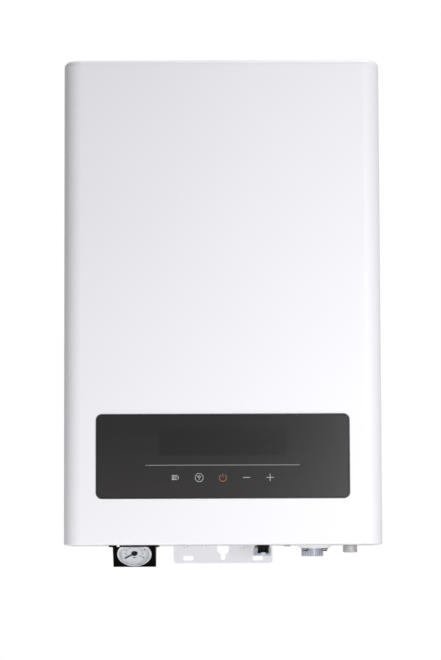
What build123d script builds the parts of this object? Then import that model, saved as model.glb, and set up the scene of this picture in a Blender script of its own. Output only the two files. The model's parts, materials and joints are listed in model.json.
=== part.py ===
from build123d import *
import math
import os

# Wall-hung electric boiler, millimetres, +Z up. The front faces -Y and the wall is the plane Y = 0.
# The origin is on the wall, midway between the two screw slots of the hanging bracket.

# Casing
case_width = 450.0
case_height = 690.0
case_depth = 250.0
hanger_to_top = 55.0
cover_sheet = 1.0
cover_wall_gap = 2.0
edge_roll = 24.0
top_roll = 8.0
foot_roll = 2.0
lip_width = 14.0
lip_gap = 3.0
sheet_fit = 0.4
rear_sheet = 1.2
rear_flange = 25.0
base_sheet = 1.5
touch = 0.2

top = hanger_to_top
low = top - case_height
front = -case_depth
inner_half = case_width / 2 - cover_sheet - sheet_fit
base_top = low + base_sheet
middle_level = (top + low) / 2

# Hanging bracket and the matching window in the rear panel
bracket_width = 210.0
bracket_sheet = 2.0
bracket_below = 22.0
bracket_step = 14.0
bracket_lip = 28.0
lip_standoff = 7.0
wall_slot_pitch = 160.0
wall_slot_length = 14.0
wall_slot_width = 8.0
window_margin = 5.0
hook_reach = 6.5

# Tab below the casing
tab_width = 148.0
tab_drop = 25.6
tab_corner = 5.0
tab_slot_pitch = 104.0
tab_slot_length = 16.0
tab_slot_width = 7.0
tab_slot_drop = 18.2
keyhole_head = 18.0
keyhole_head_drop = 4.0
keyhole_neck = 7.0
keyhole_drop = 21.1

# Control panel
glass_width = 354.4
glass_height = 116.0
glass_thickness = 3.0
glass_corner = 7.2
glass_proud = 0.5
glass_middle = 124.2
glass_chamfer = 0.4
rim_width = 1.4
rim_fit = 0.25
rim_proud = 0.2
frame_flange = 8.0
frame_depth = 24.0
frame_wall = 2.0
display_width = 190.0
display_height = 46.0
display_depth = 7.0
display_middle = 144.4
key_pitch = 33.3
key_count = 5
key_line = 94.1
key_pad_radius = 5.5
touch_board_width = 210.0
touch_board_height = 34.0
board_sheet = 1.6
pad_height = 1.4
touch_middle = 95.3
display_rim = 4.0
display_recess = 1.5
display_margin = 6.0
chip_x = 62.0
chip_size = 9.0
chip_height = 1.5
plug_gap_x = 0.0
plug_gap_width = 70.0
plug_gap_height = 20.0
post_radius = 3.0
board_post_x = 95.0
display_post_x = 80.0
display_post_low = 128.4
display_post_high = 160.4
opening_width = glass_width + 2 * (rim_fit + rim_width + rim_fit)
opening_height = glass_height + 2 * (rim_fit + rim_width + rim_fit)
glass_back = front - glass_proud + glass_thickness
frame_back = front + frame_depth
board_front = glass_back + touch + pad_height
board_back = board_front + board_sheet
display_back = glass_back + touch + display_depth

# Pressure gauge and its bracket
gauge_side_inset = 97.5
gauge_front_inset = 90.0
gauge_x = -case_width / 2 + gauge_side_inset
gauge_y = front + gauge_front_inset
gauge_drop = 12.4
gauge_tilt = 47.5
bezel_radius = 24.8
bezel_height = 2.6
dial_view_radius = 21.6
dial_flat_radius = 18.8
gauge_case_radius = 23.3
gauge_case_depth = 24.0
gauge_wall = 0.7
lens_thickness = 1.2
dial_sink = 3.2
dial_thickness = 0.8
needle_reach = 16.3
needle_hub = 3.75
needle_zero = 218.0
arbor_radius = 0.75
arbor_fit = 0.05
holder_sheet = 1.5
holder_width = 61.5
holder_foot = 27.2
holder_head = 30.0
holder_flange_width = 70.8
holder_flange_sheet = 2.5
holder_flange_front = 7.0
holder_flange_rear = 9.0
holder_splay = 2.0
window_front_gap = 26.0
window_rear_gap = 31.0
holder_screw_aside = 28.0
nose_screw_aside = 22.0
nose_screw_ahead = 3.4
capillary_radius = 1.2
capillary_run = 18.0
capillary_jog = 30.0
capillary_z = -576.0
capillary_boss = 3.0
capillary_boss_radius = 3.5
capillary_bend = 10.0
bezel_wall = 0.4
bezel_lip = 0.7
bezel_shoulder = 1.7
rim_height = 0.8
lens_radius = 22.4
boss_radius = 5.0
boss_length = 8.0
dial_hole = 1.2
needle_level = -1.4
needle_sheet = 0.5
needle_half = 1.2
needle_tip = 0.6
needle_tail = 5.0
arbor_length = 8.6
tube_ring = 17.0
tube_half = 1.5
tube_level = -15.5
tube_rise = 2.5
tube_arc = 270.0
plate_level = -9.5
plate_disc = 13.0
pillar_ring = 10.0
pillar_radius = 1.5
holder_fold = 1.9
window_front = gauge_y - window_front_gap
window_rear = gauge_y + window_rear_gap
flange_front = window_front - holder_flange_front
flange_rear = window_rear + holder_flange_rear
holder_screw_xs = (gauge_x - holder_screw_aside, gauge_x + holder_screw_aside)
holder_screw_y = window_rear + holder_flange_rear / 2
nose_screw = (gauge_x - nose_screw_aside, flange_front - nose_screw_ahead)
tilt = math.radians(gauge_tilt)
gauge_plane = Plane(
    origin=(gauge_x, gauge_y, low - gauge_drop),
    x_dir=(1, 0, 0),
    z_dir=(0, -math.cos(tilt), -math.sin(tilt)),
)

# Connections under the casing
cold_side_inset = 39.3
union_to_cold = 55.2
return_to_union = 72.8
cold_x = case_width / 2 - cold_side_inset
cold_y = -94.0
union_x = cold_x - union_to_cold
union_y = -94.0
return_x = union_x - return_to_union
return_y = -63.0
thread_three_quarter = 13.22
thread_half = 10.48
female_three_quarter = 12.06
return_drop = 15.2
return_neck_drop = 3.5
return_neck_radius = 11.3
water_bore = 9.0
union_radius = 16.0
union_drop = 16.1
union_thread_depth = 14.0
flute_count = 24
flute_radius = 1.1
seat_shift = 3.2
seat_ahead = 5.0
seat_x = union_x + seat_shift
seat_y = union_y - seat_ahead
seat_width = 39.6
seat_length = 58.0
seat_height = 4.8
seat_flare = 5.5
seat_screw_pitch = 27.9
seat_screw_ahead = 21.0
seat_screw_y = union_y - seat_screw_ahead
cold_drop = 10.8
drain_to_return = 37.7
drain_x = return_x + drain_to_return
drain_y = -30.0
drain_radius = 4.7
drain_bore = 3.2
drain_drop = 1.0
drain_bend = 10.0
union_neck_radius = 14.5
union_top = 6.0
thread_chamfer = 0.8
shoulder_radius = 16.0
shoulder_height = 6.5
return_stub_top = 20.0
seat_corner = 8.0
seat_screw_xs = (seat_x - seat_screw_pitch / 2, seat_x + seat_screw_pitch / 2)
cold_bore = 8.0
cold_neck_drop = 1.0
cold_neck_radius = 9.7
cold_shoulder = 14.0
cold_top = 10.0
cold_web = 2.0

# Fill valve
fill_x = return_x
fill_front_inset = 100.0
fill_y = front + fill_front_inset
knob_radius = 9.4
knob_waist = 7.9
knob_lobe = 8.6
knob_drop = 12.4
knob_above = 4.0
spindle_radius = 3.0
spindle_fit = 0.06
plug_radius = 7.0
valve_radius = 15.0
valve_wall = 2.5
valve_room = 1.0
valve_seat_z = 36.0
valve_height = 51.0
fill_port_z = 26.0
fill_outlet_z = 43.0
fill_pipe_radius = 7.0
fill_bore = 5.0
plate_clearance = 1.6
bonnet_radius = 11.0
bonnet_foot = 5.5
bonnet_top = 16.0
seat_web = 1.5
plug_gap = 0.4
plug_length = 14.0
plug_socket = 11.5
inlet_reach = 22.0
branch_reach = 10.0
spindle_foot = 6.0
spindle_head = 30.0
collar_radius = 4.5
collar_height = 1.3
knob_groove_radius = 7.0
knob_groove_depth = 2.1
knob_web = 1.0
knob_screw_radius = 1.5
knob_screw_depth = 8.0
knob_screw_head = 2.8
fill_bend_low = 12.0
fill_bend = 16.0

# Cable grommets
grommet_y = -50.0
mains_grommet_radius = 14.0
mains_cable_radius = 8.0
mains_grommet_x = gauge_x - 12.0
signal_grommet_radius = 9.5
signal_cable_radius = 4.5
signal_grommet_x = gauge_x + 16.0
grommets = (
    (mains_grommet_x, mains_grommet_radius, mains_cable_radius),
    (signal_grommet_x, signal_grommet_radius, signal_cable_radius),
)
grommet_drop = 3.0
grommet_lip = 3.0
grommet_rim = 0.8
grommet_wall = 2.0

# Screws
screw_head_radius = 3.7
screw_head_height = 2.6
screw_shank_radius = 2.0
screw_length = 10.0
screw_hole = 2.3
small_head_radius = 2.2
cover_screw_y = -14.0
cover_screw_length = 8.0
cover_screw_levels = (low + 60, middle_level, top - 60)
rear_screw_y = -14.0
rear_screw_xs = (-56.0, -28.0, 29.0, 56.0)

# Air slots in the bottom plate
vent_slot_x = -25.0
vent_slot_y = fill_y
vent_slot_pitch = 10.0
vent_slot_row = 40.0
vent_slot_count = 8
vent_slot_length = 30.0
vent_slot_width = 4.0

# Heating vessel
tank_radius = 50.0
tank_wall = 2.0
tank_bottom = -395.0
tank_top = -85.0
tank_dish = 18.0
neck_radius = 34.0
neck_height = 10.0
head_flange_radius = 46.0
head_flange_sheet = 5.0
gasket_sheet = 2.0
bolt_circle = 41.0
bolt_count = 6
jacket_radius = 62.0
jacket_fit = 0.4
jacket_front_gap = 11.0
tank_x = return_x
tank_y = front + cover_sheet + jacket_front_gap + jacket_radius
element_radius = 4.1
element_circle = 20.0
element_leg_gap = 15.0
element_length = 230.0
element_count = 3
terminal_nut = 4.0
terminal_radius = 2.0
terminal_height = 16.0
bolt_radius = 3.0
bolt_across = 10.0
bolt_head = 4.0
bolt_nut = 5.0
thermostat_z = -112.0
thermostat_window = 10.0
thermostat_radius = 8.0
thermostat_depth = 10.0
blade_offset = 5.5
saddle_sheet = 2.0
saddle_width = 20.0
saddle_levels = ((-325.0, (1, -1)), (-145.0, (1,)))
saddle_foot = 18.0
saddle_foot_y = -rear_sheet

# Pump
pump_z = -500.0
pump_half = 65.0
volute_radius = 44.0
volute_front = -88.0
volute_back = -40.0
impeller_radius = 30.0
impeller_gap = 3.0
impeller_width = 12.0
motor_radius = 42.0
motor_length = 88.0
rotor_radius = 17.0
rotor_gap = 0.8
shaft_radius = 4.0
shaft_fit = 0.04
nut_across = 37.0
nut_height = 14.0
port_radius = 14.0
port_thread_radius = 15.5
port_thread = 7.0
chamber_depth = 15.0
eye_radius = 8.0
impeller_start = 1.5
impeller_web = 2.0
impeller_hub = 6.0
vane_ring = 18.0
vane_count = 6
vane_length = 21.0
vane_sheet = 1.6
vane_angle = 35.0
motor_bevel = 3.0
motor_ribs = 24
motor_rib_depth = 4.0
motor_rib_width = 4.0
motor_box_sink = 10.0
motor_box_width = 52.0
motor_box_length = 60.0
motor_box_height = 28.0
bearing_length = 6.0
rotor_room = 56.0
rotor_end_gap = 4.0

# Pipes
pipe_radius = 11.0
pipe_wall = pipe_radius - water_bore
boss_start = water_bore + pipe_wall / 4
riser_turn = -362.0
riser_bend = 22.0
stub_clear = 3.0
flow_jog_high = 60.0
flow_jog_low = 35.0
flow_level = -112.0
flow_to_union = 21.5
flow_x = union_x + flow_to_union
flow_bend = 22.0

# Electrical tray, beside the vessel and clear of the casing
tray_sheet = 1.2
tray_side_gap = 8.9
tray_jacket_gap = 17.5
tray_left = -inner_half + rear_sheet + tray_side_gap
tray_right = tank_x - jacket_radius - tray_jacket_gap

# Expansion vessel, as wide as the room between the tray and the saddle allows
vessel_left_gap = 4.4
vessel_right_gap = 35.4
vessel_seam = 2.5
vessel_left = tray_left + tray_sheet / 2 + vessel_left_gap
vessel_right = tank_x + jacket_radius + touch - vessel_right_gap
vessel_x = (vessel_left + vessel_right) / 2
vessel_z = -150.0
vessel_radius = (vessel_right - vessel_left) / 2 - vessel_seam
vessel_jacket_gap = 9.0
vessel_front = tank_y + jacket_radius + vessel_jacket_gap
vessel_back = -21.0
vessel_round = 24.0
vessel_wall = 1.5
port_angle = 287.0
hose_radius = 6.0
hose_bore = 4.0
hose_z = -580.0
hose_spigot = 9.0
hose_lead = 4.0
hose_bend_top = 20.0
hose_bend = 35.0
port_reach = 14.0
port_outer = 7.0
cradle_arcs = ((215.0, 47.0), (300.0, 30.0))
cradle_radius = vessel_radius + vessel_seam + touch + saddle_sheet / 2
cradle_past = 12.0

# Safety valve
relief_z = -410.0
relief_radius = 13.0
relief_seat = -402.0
relief_roof = -376.0
relief_knob_radius = 14.0
relief_knob_height = 19.0
relief_lift = 2.5
spring_mean = 6.6
spring_wire = 0.8
spring_turns = 6
relief_wall = 3.0
relief_inlet_radius = 8.0
relief_throat = 7.0
relief_boss_reach = 5.0
relief_chamber = 9.5
relief_outlet_z = -388.0
relief_outlet_reach = 21.0
outlet_radius = 6.0
collar_outer = 6.0
relief_collar_top = -366.0
stem_radius = 2.5
stem_disc_radius = 7.0
stem_disc = 3.0
stem_top = -360.0
cap_skirt = 6.5
cap_grips = 8
cap_grip_radius = 2.5

# Air vent
vent_y = (tank_y + union_y) / 2
vent_radius = 15.0
vent_height = 58.0
vent_wall = 2.0
float_radius = 11.5
float_height = 26.0
vent_boss_radius = 8.0
vent_boss_reach = 4.0
vent_bore = 4.0
vent_neck = 6.0
nozzle_radius = 4.0
nozzle_height = 8.0
nozzle_bore = 1.5
cap_radius = 6.0

# Electrical parts
tray_low = -445.0
tray_high = -90.0
tray_front_inset = 60.0
tray_y = front + tray_front_inset
standoff = 5.0
reset_radius = 2.5
reset_travel = 1.5
reset_fit = 0.3
reset_sink = 3.0
reset_length = 8.0
tray_foot = 14.0
tray_lip = 12.0
board_margin = 8.0
board_x = (tray_left + tray_right) / 2
board_z = -220.0
board_width = tray_right - tray_left - 2 * board_margin
board_height = 220.0
relay_count = 3
relay_pitch = 44.0
relay_width = 30.0
relay_height = 22.0
relay_depth = 25.0
relay_row = 70.0
coil_x = 54.0
coil_z = 70.0
coil_width = 36.0
coil_height = 32.0
coil_depth = 26.0
can_x = 60.0
can_z = 30.0
can_pitch = 22.0
can_radius = 8.0
can_length = 20.0
plug_strip_x = 20.0
plug_strip_width = 110.0
plug_strip_height = 12.0
plug_strip_depth = 8.0
sink_x = 28.0
sink_z = 58.0
sink_width = 80.0
sink_height = 70.0
sink_base = 4.0
sink_depth = 24.0
sink_fins = 10
sink_fin = 1.6
rail_z = -412.0
rail_width = 130.0
rail_height = 32.0
rail_depth = 18.0
rail_ways = 10
rail_wall = 1.6
rail_wall_rise = 4.0
rail_screw = 3.0
sensor_z = -300.0
riser_sensor_drop = 12.0
riser_sensor_z = riser_turn - riser_bend - riser_sensor_drop
clip_sheet = 1.0
clip_width = 10.0
sensor_length = 7.0
sensor_width = 5.0

os.makedirs("parts", exist_ok=True)


def at(x, y, z=0.0):
    """A plane at a point, facing up."""
    return Plane((x, y, z))


def ahead(x, y, z):
    """A plane at a point, facing the front."""
    return Plane(origin=(x, y, z), x_dir=(1, 0, 0), z_dir=(0, -1, 0))


def aback(x, y, z):
    """A plane at a point, facing the wall."""
    return Plane(origin=(x, y, z), x_dir=(1, 0, 0), z_dir=(0, 1, 0))


def aside(x, y, z):
    """A plane at a point, facing +X."""
    return Plane(origin=(x, y, z), x_dir=(0, 1, 0), z_dir=(1, 0, 0))


def rod(plane, radius, length, mode=Mode.ADD):
    """A round bar that stands on a plane."""
    with BuildSketch(plane) as disc:
        Circle(radius)
    extrude(disc.sketch, amount=length, mode=mode)


def block(plane, width, height, length, mode=Mode.ADD):
    """A rectangular block that stands on a plane."""
    with BuildSketch(plane) as face:
        Rectangle(width, height)
    extrude(face.sketch, amount=length, mode=mode)


def hexagon(plane, across, length, mode=Mode.ADD):
    """A hexagonal bar, given by its width across flats, that stands on a plane."""
    with BuildSketch(plane) as face:
        RegularPolygon(across / 2, 6, major_radius=False)
    extrude(face.sketch, amount=length, mode=mode)


def turned(points, plane, mode=Mode.ADD, sweep_angle=360.0):
    """Turn an outline of radius and height pairs about a plane's normal."""
    section = Plane(origin=plane.origin, x_dir=plane.x_dir, z_dir=-plane.y_dir)
    with BuildSketch(section) as outline:
        with BuildLine():
            Polyline(*points, close=True)
        make_face()
    axis = Axis(plane.origin, plane.z_dir)
    revolve(outline.sketch, axis=axis, revolution_arc=sweep_angle, mode=mode)


def pipe(route, bends, radius, bore=0.0):
    """A pipe along straight runs joined by bends."""
    with BuildLine() as path:
        if len(route) > 2:
            FilletPolyline(*route, radius=bends)
        else:
            Line(*route)
    with BuildSketch(Plane(origin=path.line @ 0, z_dir=path.line % 0)) as section:
        Circle(radius)
        if bore:
            Circle(bore, mode=Mode.SUBTRACT)
    sweep(section.sketch, path=path.line)


def pan_screw(plane, length=screw_length, head_radius=screw_head_radius):
    """A pan-head screw: the head sits on the plane and the shank goes behind it."""
    with BuildSketch(plane) as head:
        Circle(head_radius)
    extrude(head.sketch, amount=screw_head_height / 2)
    with BuildSketch(plane.offset(screw_head_height / 2)) as crown:
        Circle(head_radius)
    extrude(crown.sketch, amount=screw_head_height / 2, taper=30)
    rod(plane, screw_shank_radius, -length)


cheek_top = (gauge_drop - holder_flange_sheet / 2 - holder_sheet / 2 * math.sin(tilt)) / math.cos(tilt)


def face_point(up):
    """A point on the middle of the gauge bracket's sloping sheet, as Y and Z."""
    return (
        gauge_y - up * math.sin(tilt) + holder_sheet / 2 * math.cos(tilt),
        low - gauge_drop + up * math.cos(tilt) + holder_sheet / 2 * math.sin(tilt),
    )


def cover_block(inset):
    """The cover as a full block, or the room inside it when inset by the thickness of its sheet."""
    with BuildPart() as full:
        with BuildSketch(Plane.XY.offset(low + inset)):
            with Locations((0, front + inset)):
                Rectangle(
                    case_width - 2 * inset,
                    case_depth - cover_wall_gap,
                    align=(Align.CENTER, Align.MIN),
                )
        extrude(amount=case_height - 2 * inset)
        fillet(full.edges().filter_by(Axis.Z).group_by(Axis.Y)[0], edge_roll - inset)
        for end, roll in ((-1, top_roll), (0, foot_roll)):
            rim = full.faces().sort_by(Axis.Z)[end].edges().sort_by(Axis.Y)
            fillet(rim[:-1], roll - inset)
    return full.part


def cheek_plane(side):
    """The outside of one cheek of the gauge bracket, which leans outward from the edge of the face."""
    lean = math.radians(holder_splay)
    up = Vector(0, -math.sin(tilt), math.cos(tilt))
    back = Vector(side * math.sin(lean), math.cos(lean) * math.cos(tilt), math.cos(lean) * math.sin(tilt))
    foot = (gauge_x + side * holder_width / 2, *face_point(-holder_foot))
    return Plane(origin=foot, x_dir=up, z_dir=up.cross(back))


def bolt_place(index, level):
    """A plane at one of the bolts round the heating vessel's head flange."""
    turn = 2 * math.pi * index / bolt_count
    return Plane(
        origin=(tank_x + bolt_circle * math.cos(turn), tank_y + bolt_circle * math.sin(turn), level),
        x_dir=(-math.sin(turn), math.cos(turn), 0),
        z_dir=(0, 0, 1),
    )


# Front cover: one deep pressed shell, open at the back and below, with its foot rolled inward over a lip
with BuildPart() as front_cover:
    add(cover_block(0))
    add(cover_block(cover_sheet), mode=Mode.SUBTRACT)
    with BuildSketch(Plane.XY.offset(low)) as mouth:
        with Locations((0, front + foot_roll)):
            Rectangle(case_width - 2 * foot_roll, case_depth, align=(Align.CENTER, Align.MIN))
        fillet(mouth.vertices().group_by(Axis.Y)[0], edge_roll - foot_roll)
    extrude(amount=cover_sheet, mode=Mode.SUBTRACT)
    with BuildSketch(Plane.XY.offset(base_top + touch)) as lip:
        with Locations((0, front + cover_sheet / 2)):
            Rectangle(
                case_width - cover_sheet,
                case_depth - cover_sheet / 2 - rear_flange - lip_gap,
                align=(Align.CENTER, Align.MIN),
            )
        fillet(lip.vertices().group_by(Axis.Y)[0], edge_roll - cover_sheet / 2)
        with Locations((0, front + lip_width)):
            Rectangle(
                case_width - 2 * lip_width,
                case_depth,
                align=(Align.CENTER, Align.MIN),
                mode=Mode.SUBTRACT,
            )
    extrude(amount=cover_sheet)
    with BuildSketch(Plane.XZ.offset(case_depth)):
        with Locations((0, low + glass_middle)):
            RectangleRounded(opening_width, opening_height, glass_corner + rim_width + rim_fit)
    extrude(amount=-cover_sheet, mode=Mode.SUBTRACT)
    for side in (-1, 1):
        for level in cover_screw_levels:
            hole_start = Plane(
                origin=(side * (case_width / 2 - cover_sheet), cover_screw_y, level),
                z_dir=(side, 0, 0),
            )
            rod(hole_start, screw_hole, cover_sheet, mode=Mode.SUBTRACT)
front_cover.part.label = "front_cover"
export_step(front_cover.part, "parts/front_cover.step")

# Rear panel: a shallow tray on the wall, with the hanging window, its hook, and the tab below
tray_height = top - cover_sheet - sheet_fit - base_top
with BuildPart() as rear_panel:
    with BuildSketch(Plane.XZ) as tray_face:
        with Locations((0, base_top + tray_height / 2)):
            Rectangle(2 * inner_half, tray_height)
        fillet(tray_face.vertices().group_by(Axis.Y)[-1], top_roll)
    extrude(amount=rear_flange)
    tray_mouth = rear_panel.faces().sort_by(Axis.Y)[0]
    offset(amount=-rear_sheet, openings=tray_mouth)
    with BuildSketch(Plane.XZ) as tab:
        with Locations((0, low - tab_drop)):
            Rectangle(tab_width, tab_drop + rear_flange, align=(Align.CENTER, Align.MIN))
        fillet(tab.vertices().group_by(Axis.Y)[0], tab_corner)
    extrude(amount=rear_sheet)
    with BuildSketch(Plane.XZ):
        with Locations((0, low - tab_slot_drop)):
            with GridLocations(tab_slot_pitch, 0, 2, 1):
                SlotOverall(tab_slot_length, tab_slot_width)
        with Locations((0, low - keyhole_head_drop)):
            Circle(keyhole_head / 2)
        with Locations((0, low - keyhole_drop + keyhole_neck / 2)):
            Circle(keyhole_neck / 2)
            Rectangle(
                keyhole_neck,
                keyhole_drop - keyhole_neck / 2 - keyhole_head_drop,
                align=(Align.CENTER, Align.MIN),
            )
    extrude(amount=rear_sheet, mode=Mode.SUBTRACT)
    with BuildSketch(Plane.XZ):
        with Locations((0, bracket_step)):
            Rectangle(
                bracket_width + 2 * window_margin,
                bracket_step + bracket_below + window_margin,
                align=(Align.CENTER, Align.MAX),
            )
    extrude(amount=rear_sheet, mode=Mode.SUBTRACT)
    with BuildSketch(Plane.XZ):
        with Locations((0, bracket_step)):
            Rectangle(bracket_width, rear_sheet, align=(Align.CENTER, Align.MIN))
    extrude(amount=hook_reach)
    for screw_x in rear_screw_xs:
        rod(at(screw_x, rear_screw_y, base_top), screw_hole, rear_sheet, mode=Mode.SUBTRACT)
    for side in (-1, 1):
        for level in cover_screw_levels:
            hole_start = Plane(
                origin=(side * (inner_half - rear_sheet), cover_screw_y, level),
                z_dir=(side, 0, 0),
            )
            rod(hole_start, screw_hole, rear_sheet, mode=Mode.SUBTRACT)
rear_panel.part.label = "rear_panel"
export_step(rear_panel.part, "parts/rear_panel.step")

# Wall bracket: a folded rail whose step carries the rear panel's hook
with BuildPart() as wall_bracket:
    with BuildSketch(Plane.YZ.offset(-bracket_width / 2)):
        with BuildLine():
            Polyline(
                (0, -bracket_below),
                (0, bracket_step),
                (-lip_standoff, bracket_step),
                (-lip_standoff, bracket_lip),
                (-lip_standoff - bracket_sheet, bracket_lip),
                (-lip_standoff - bracket_sheet, bracket_step - bracket_sheet),
                (-bracket_sheet, bracket_step - bracket_sheet),
                (-bracket_sheet, -bracket_below),
                close=True,
            )
        make_face()
    extrude(amount=bracket_width)
    with BuildSketch(Plane.XZ):
        with Locations((-wall_slot_pitch / 2, 0), (wall_slot_pitch / 2, 0)):
            SlotOverall(wall_slot_length, wall_slot_width)
    extrude(amount=bracket_sheet, mode=Mode.SUBTRACT)
wall_bracket.part.label = "wall_bracket"
export_step(wall_bracket.part, "parts/wall_bracket.step")

# Bottom plate: closes the casing below and carries every connection
plate_inset = foot_roll + sheet_fit
plate_front = front + plate_inset
plate_back = -rear_sheet - touch
with BuildPart() as bottom_plate:
    with BuildSketch(Plane.XY.offset(low)) as plate:
        with Locations((0, plate_front)):
            Rectangle(
                case_width - 2 * plate_inset,
                plate_back - plate_front,
                align=(Align.CENTER, Align.MIN),
            )
        fillet(plate.vertices().group_by(Axis.Y)[0], edge_roll - plate_inset)
        with Locations((gauge_x, (window_front + window_rear) / 2)):
            Rectangle(
                holder_width + 2 * sheet_fit,
                window_rear - window_front + 2 * sheet_fit,
                mode=Mode.SUBTRACT,
            )
        with Locations((fill_x, fill_y)):
            Circle(knob_radius + plate_clearance, mode=Mode.SUBTRACT)
        with Locations((return_x, return_y)):
            Circle(thread_three_quarter + sheet_fit, mode=Mode.SUBTRACT)
        with Locations((union_x, union_y)):
            Circle(union_neck_radius + sheet_fit, mode=Mode.SUBTRACT)
        with Locations((cold_x, cold_y)):
            Circle(thread_half + sheet_fit, mode=Mode.SUBTRACT)
        with Locations((drain_x, drain_y)):
            Circle(drain_radius + sheet_fit, mode=Mode.SUBTRACT)
        for grommet_x, grommet_radius, cable_radius in grommets:
            with Locations((grommet_x, grommet_y)):
                Circle(grommet_radius - grommet_lip, mode=Mode.SUBTRACT)
        with Locations([(x, rear_screw_y) for x in rear_screw_xs]):
            Circle(screw_hole, mode=Mode.SUBTRACT)
        with Locations([(x, seat_screw_y) for x in seat_screw_xs]):
            Circle(screw_hole, mode=Mode.SUBTRACT)
        with Locations([(x, holder_screw_y) for x in holder_screw_xs] + [nose_screw]):
            Circle(screw_hole, mode=Mode.SUBTRACT)
        with Locations((vent_slot_x, vent_slot_y)):
            with GridLocations(vent_slot_pitch, vent_slot_row, vent_slot_count, 2):
                SlotOverall(vent_slot_length, vent_slot_width, rotation=90, mode=Mode.SUBTRACT)
    extrude(amount=base_sheet)
bottom_plate.part.label = "bottom_plate"
export_step(bottom_plate.part, "parts/bottom_plate.step")

# Screws through the cover's sides into the rear panel's flanges
with BuildPart() as cover_screws:
    for side in (-1, 1):
        for level in cover_screw_levels:
            screw_seat = Plane(origin=(side * case_width / 2, cover_screw_y, level), z_dir=(side, 0, 0))
            pan_screw(screw_seat, cover_screw_length)
cover_screws.part.label = "cover_screws"
export_step(cover_screws.part, "parts/cover_screws.step")

# Screws driven up from below: rear flange, flow seat, gauge bracket and one at the nose of the bracket
with BuildPart() as underside_screws:
    for screw_x in rear_screw_xs:
        pan_screw(Plane(origin=(screw_x, rear_screw_y, low), z_dir=(0, 0, -1)))
    for screw_x in seat_screw_xs:
        pan_screw(Plane(origin=(screw_x, seat_screw_y, low - seat_height), z_dir=(0, 0, -1)))
    for screw_x in holder_screw_xs:
        pan_screw(Plane(origin=(screw_x, holder_screw_y, low - holder_flange_sheet), z_dir=(0, 0, -1)))
    pan_screw(Plane(origin=(*nose_screw, low), z_dir=(0, 0, -1)), screw_length, small_head_radius)
underside_screws.part.label = "underside_screws"
export_step(underside_screws.part, "parts/underside_screws.step")

# Glass of the control panel, with a fine bevel round its face
with BuildPart() as control_glass:
    with BuildSketch(Plane.XZ.offset(case_depth + glass_proud)):
        with Locations((0, low + glass_middle)):
            RectangleRounded(glass_width, glass_height, glass_corner)
    extrude(amount=-glass_thickness)
    chamfer(control_glass.faces().sort_by(Axis.Y)[0].edges(), glass_chamfer)
control_glass.part.label = "control_glass"
export_step(control_glass.part, "parts/control_glass.step")

# Panel frame: the dark moulding that clips into the cover, holds the glass and carries the boards
with BuildPart() as panel_frame:
    with BuildSketch(Plane.XZ.offset(case_depth + glass_proud + rim_proud)):
        with Locations((0, low + glass_middle)):
            RectangleRounded(
                glass_width + 2 * (rim_fit + rim_width),
                glass_height + 2 * (rim_fit + rim_width),
                glass_corner + rim_fit + rim_width,
            )
            RectangleRounded(
                glass_width + 2 * rim_fit,
                glass_height + 2 * rim_fit,
                glass_corner + rim_fit,
                mode=Mode.SUBTRACT,
            )
    extrude(amount=-rim_proud - glass_proud - cover_sheet - touch - frame_wall)
    with BuildSketch(Plane.XZ.offset(case_depth - cover_sheet - touch)):
        with Locations((0, low + glass_middle)):
            RectangleRounded(
                opening_width + 2 * frame_flange,
                opening_height + 2 * frame_flange,
                glass_corner + frame_flange,
            )
            RectangleRounded(
                glass_width + 2 * rim_fit,
                glass_height + 2 * rim_fit,
                glass_corner + rim_fit,
                mode=Mode.SUBTRACT,
            )
    extrude(amount=-frame_wall)
    with BuildSketch(Plane.XZ.offset(-glass_back)):
        with Locations((0, low + glass_middle)):
            RectangleRounded(glass_width + 2 * frame_wall, glass_height + 2 * frame_wall, glass_corner)
            RectangleRounded(
                glass_width - 2 * frame_wall,
                glass_height - 2 * frame_wall,
                glass_corner - frame_wall,
                mode=Mode.SUBTRACT,
            )
    extrude(amount=-(frame_depth - glass_thickness + glass_proud))
    with BuildSketch(Plane.XZ.offset(-frame_back)):
        with Locations((0, low + glass_middle)):
            RectangleRounded(glass_width + 2 * frame_wall, glass_height + 2 * frame_wall, glass_corner)
            with Locations((plug_gap_x, 0)):
                Rectangle(plug_gap_width, plug_gap_height, mode=Mode.SUBTRACT)
    extrude(amount=-frame_wall)
    for side in (-1, 1):
        board_post = ahead(side * board_post_x, frame_back, low + touch_middle)
        rod(board_post, post_radius, frame_back - board_back)
        for post_rise in (display_post_low, display_post_high):
            display_post = ahead(side * display_post_x, frame_back, low + post_rise)
            rod(display_post, post_radius, frame_back - display_back - board_sheet)
panel_frame.part.label = "panel_frame"
export_step(panel_frame.part, "parts/panel_frame.step")

# Display: a light box with its window frame and a board behind it
with BuildPart() as display_module:
    with BuildSketch(Plane.XZ.offset(-glass_back - touch)):
        with Locations((0, low + display_middle)):
            Rectangle(display_width, display_height)
    extrude(amount=-display_depth)
    with BuildSketch(Plane.XZ.offset(-glass_back - touch)):
        with Locations((0, low + display_middle)):
            Rectangle(display_width - 2 * display_rim, display_height - 2 * display_rim)
    extrude(amount=-display_recess, mode=Mode.SUBTRACT)
    with BuildSketch(Plane.XZ.offset(-display_back)):
        with Locations((0, low + display_middle)):
            Rectangle(display_width + display_margin, display_height + display_margin)
    extrude(amount=-board_sheet)
display_module.part.label = "display_module"
export_step(display_module.part, "parts/display_module.step")

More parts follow.
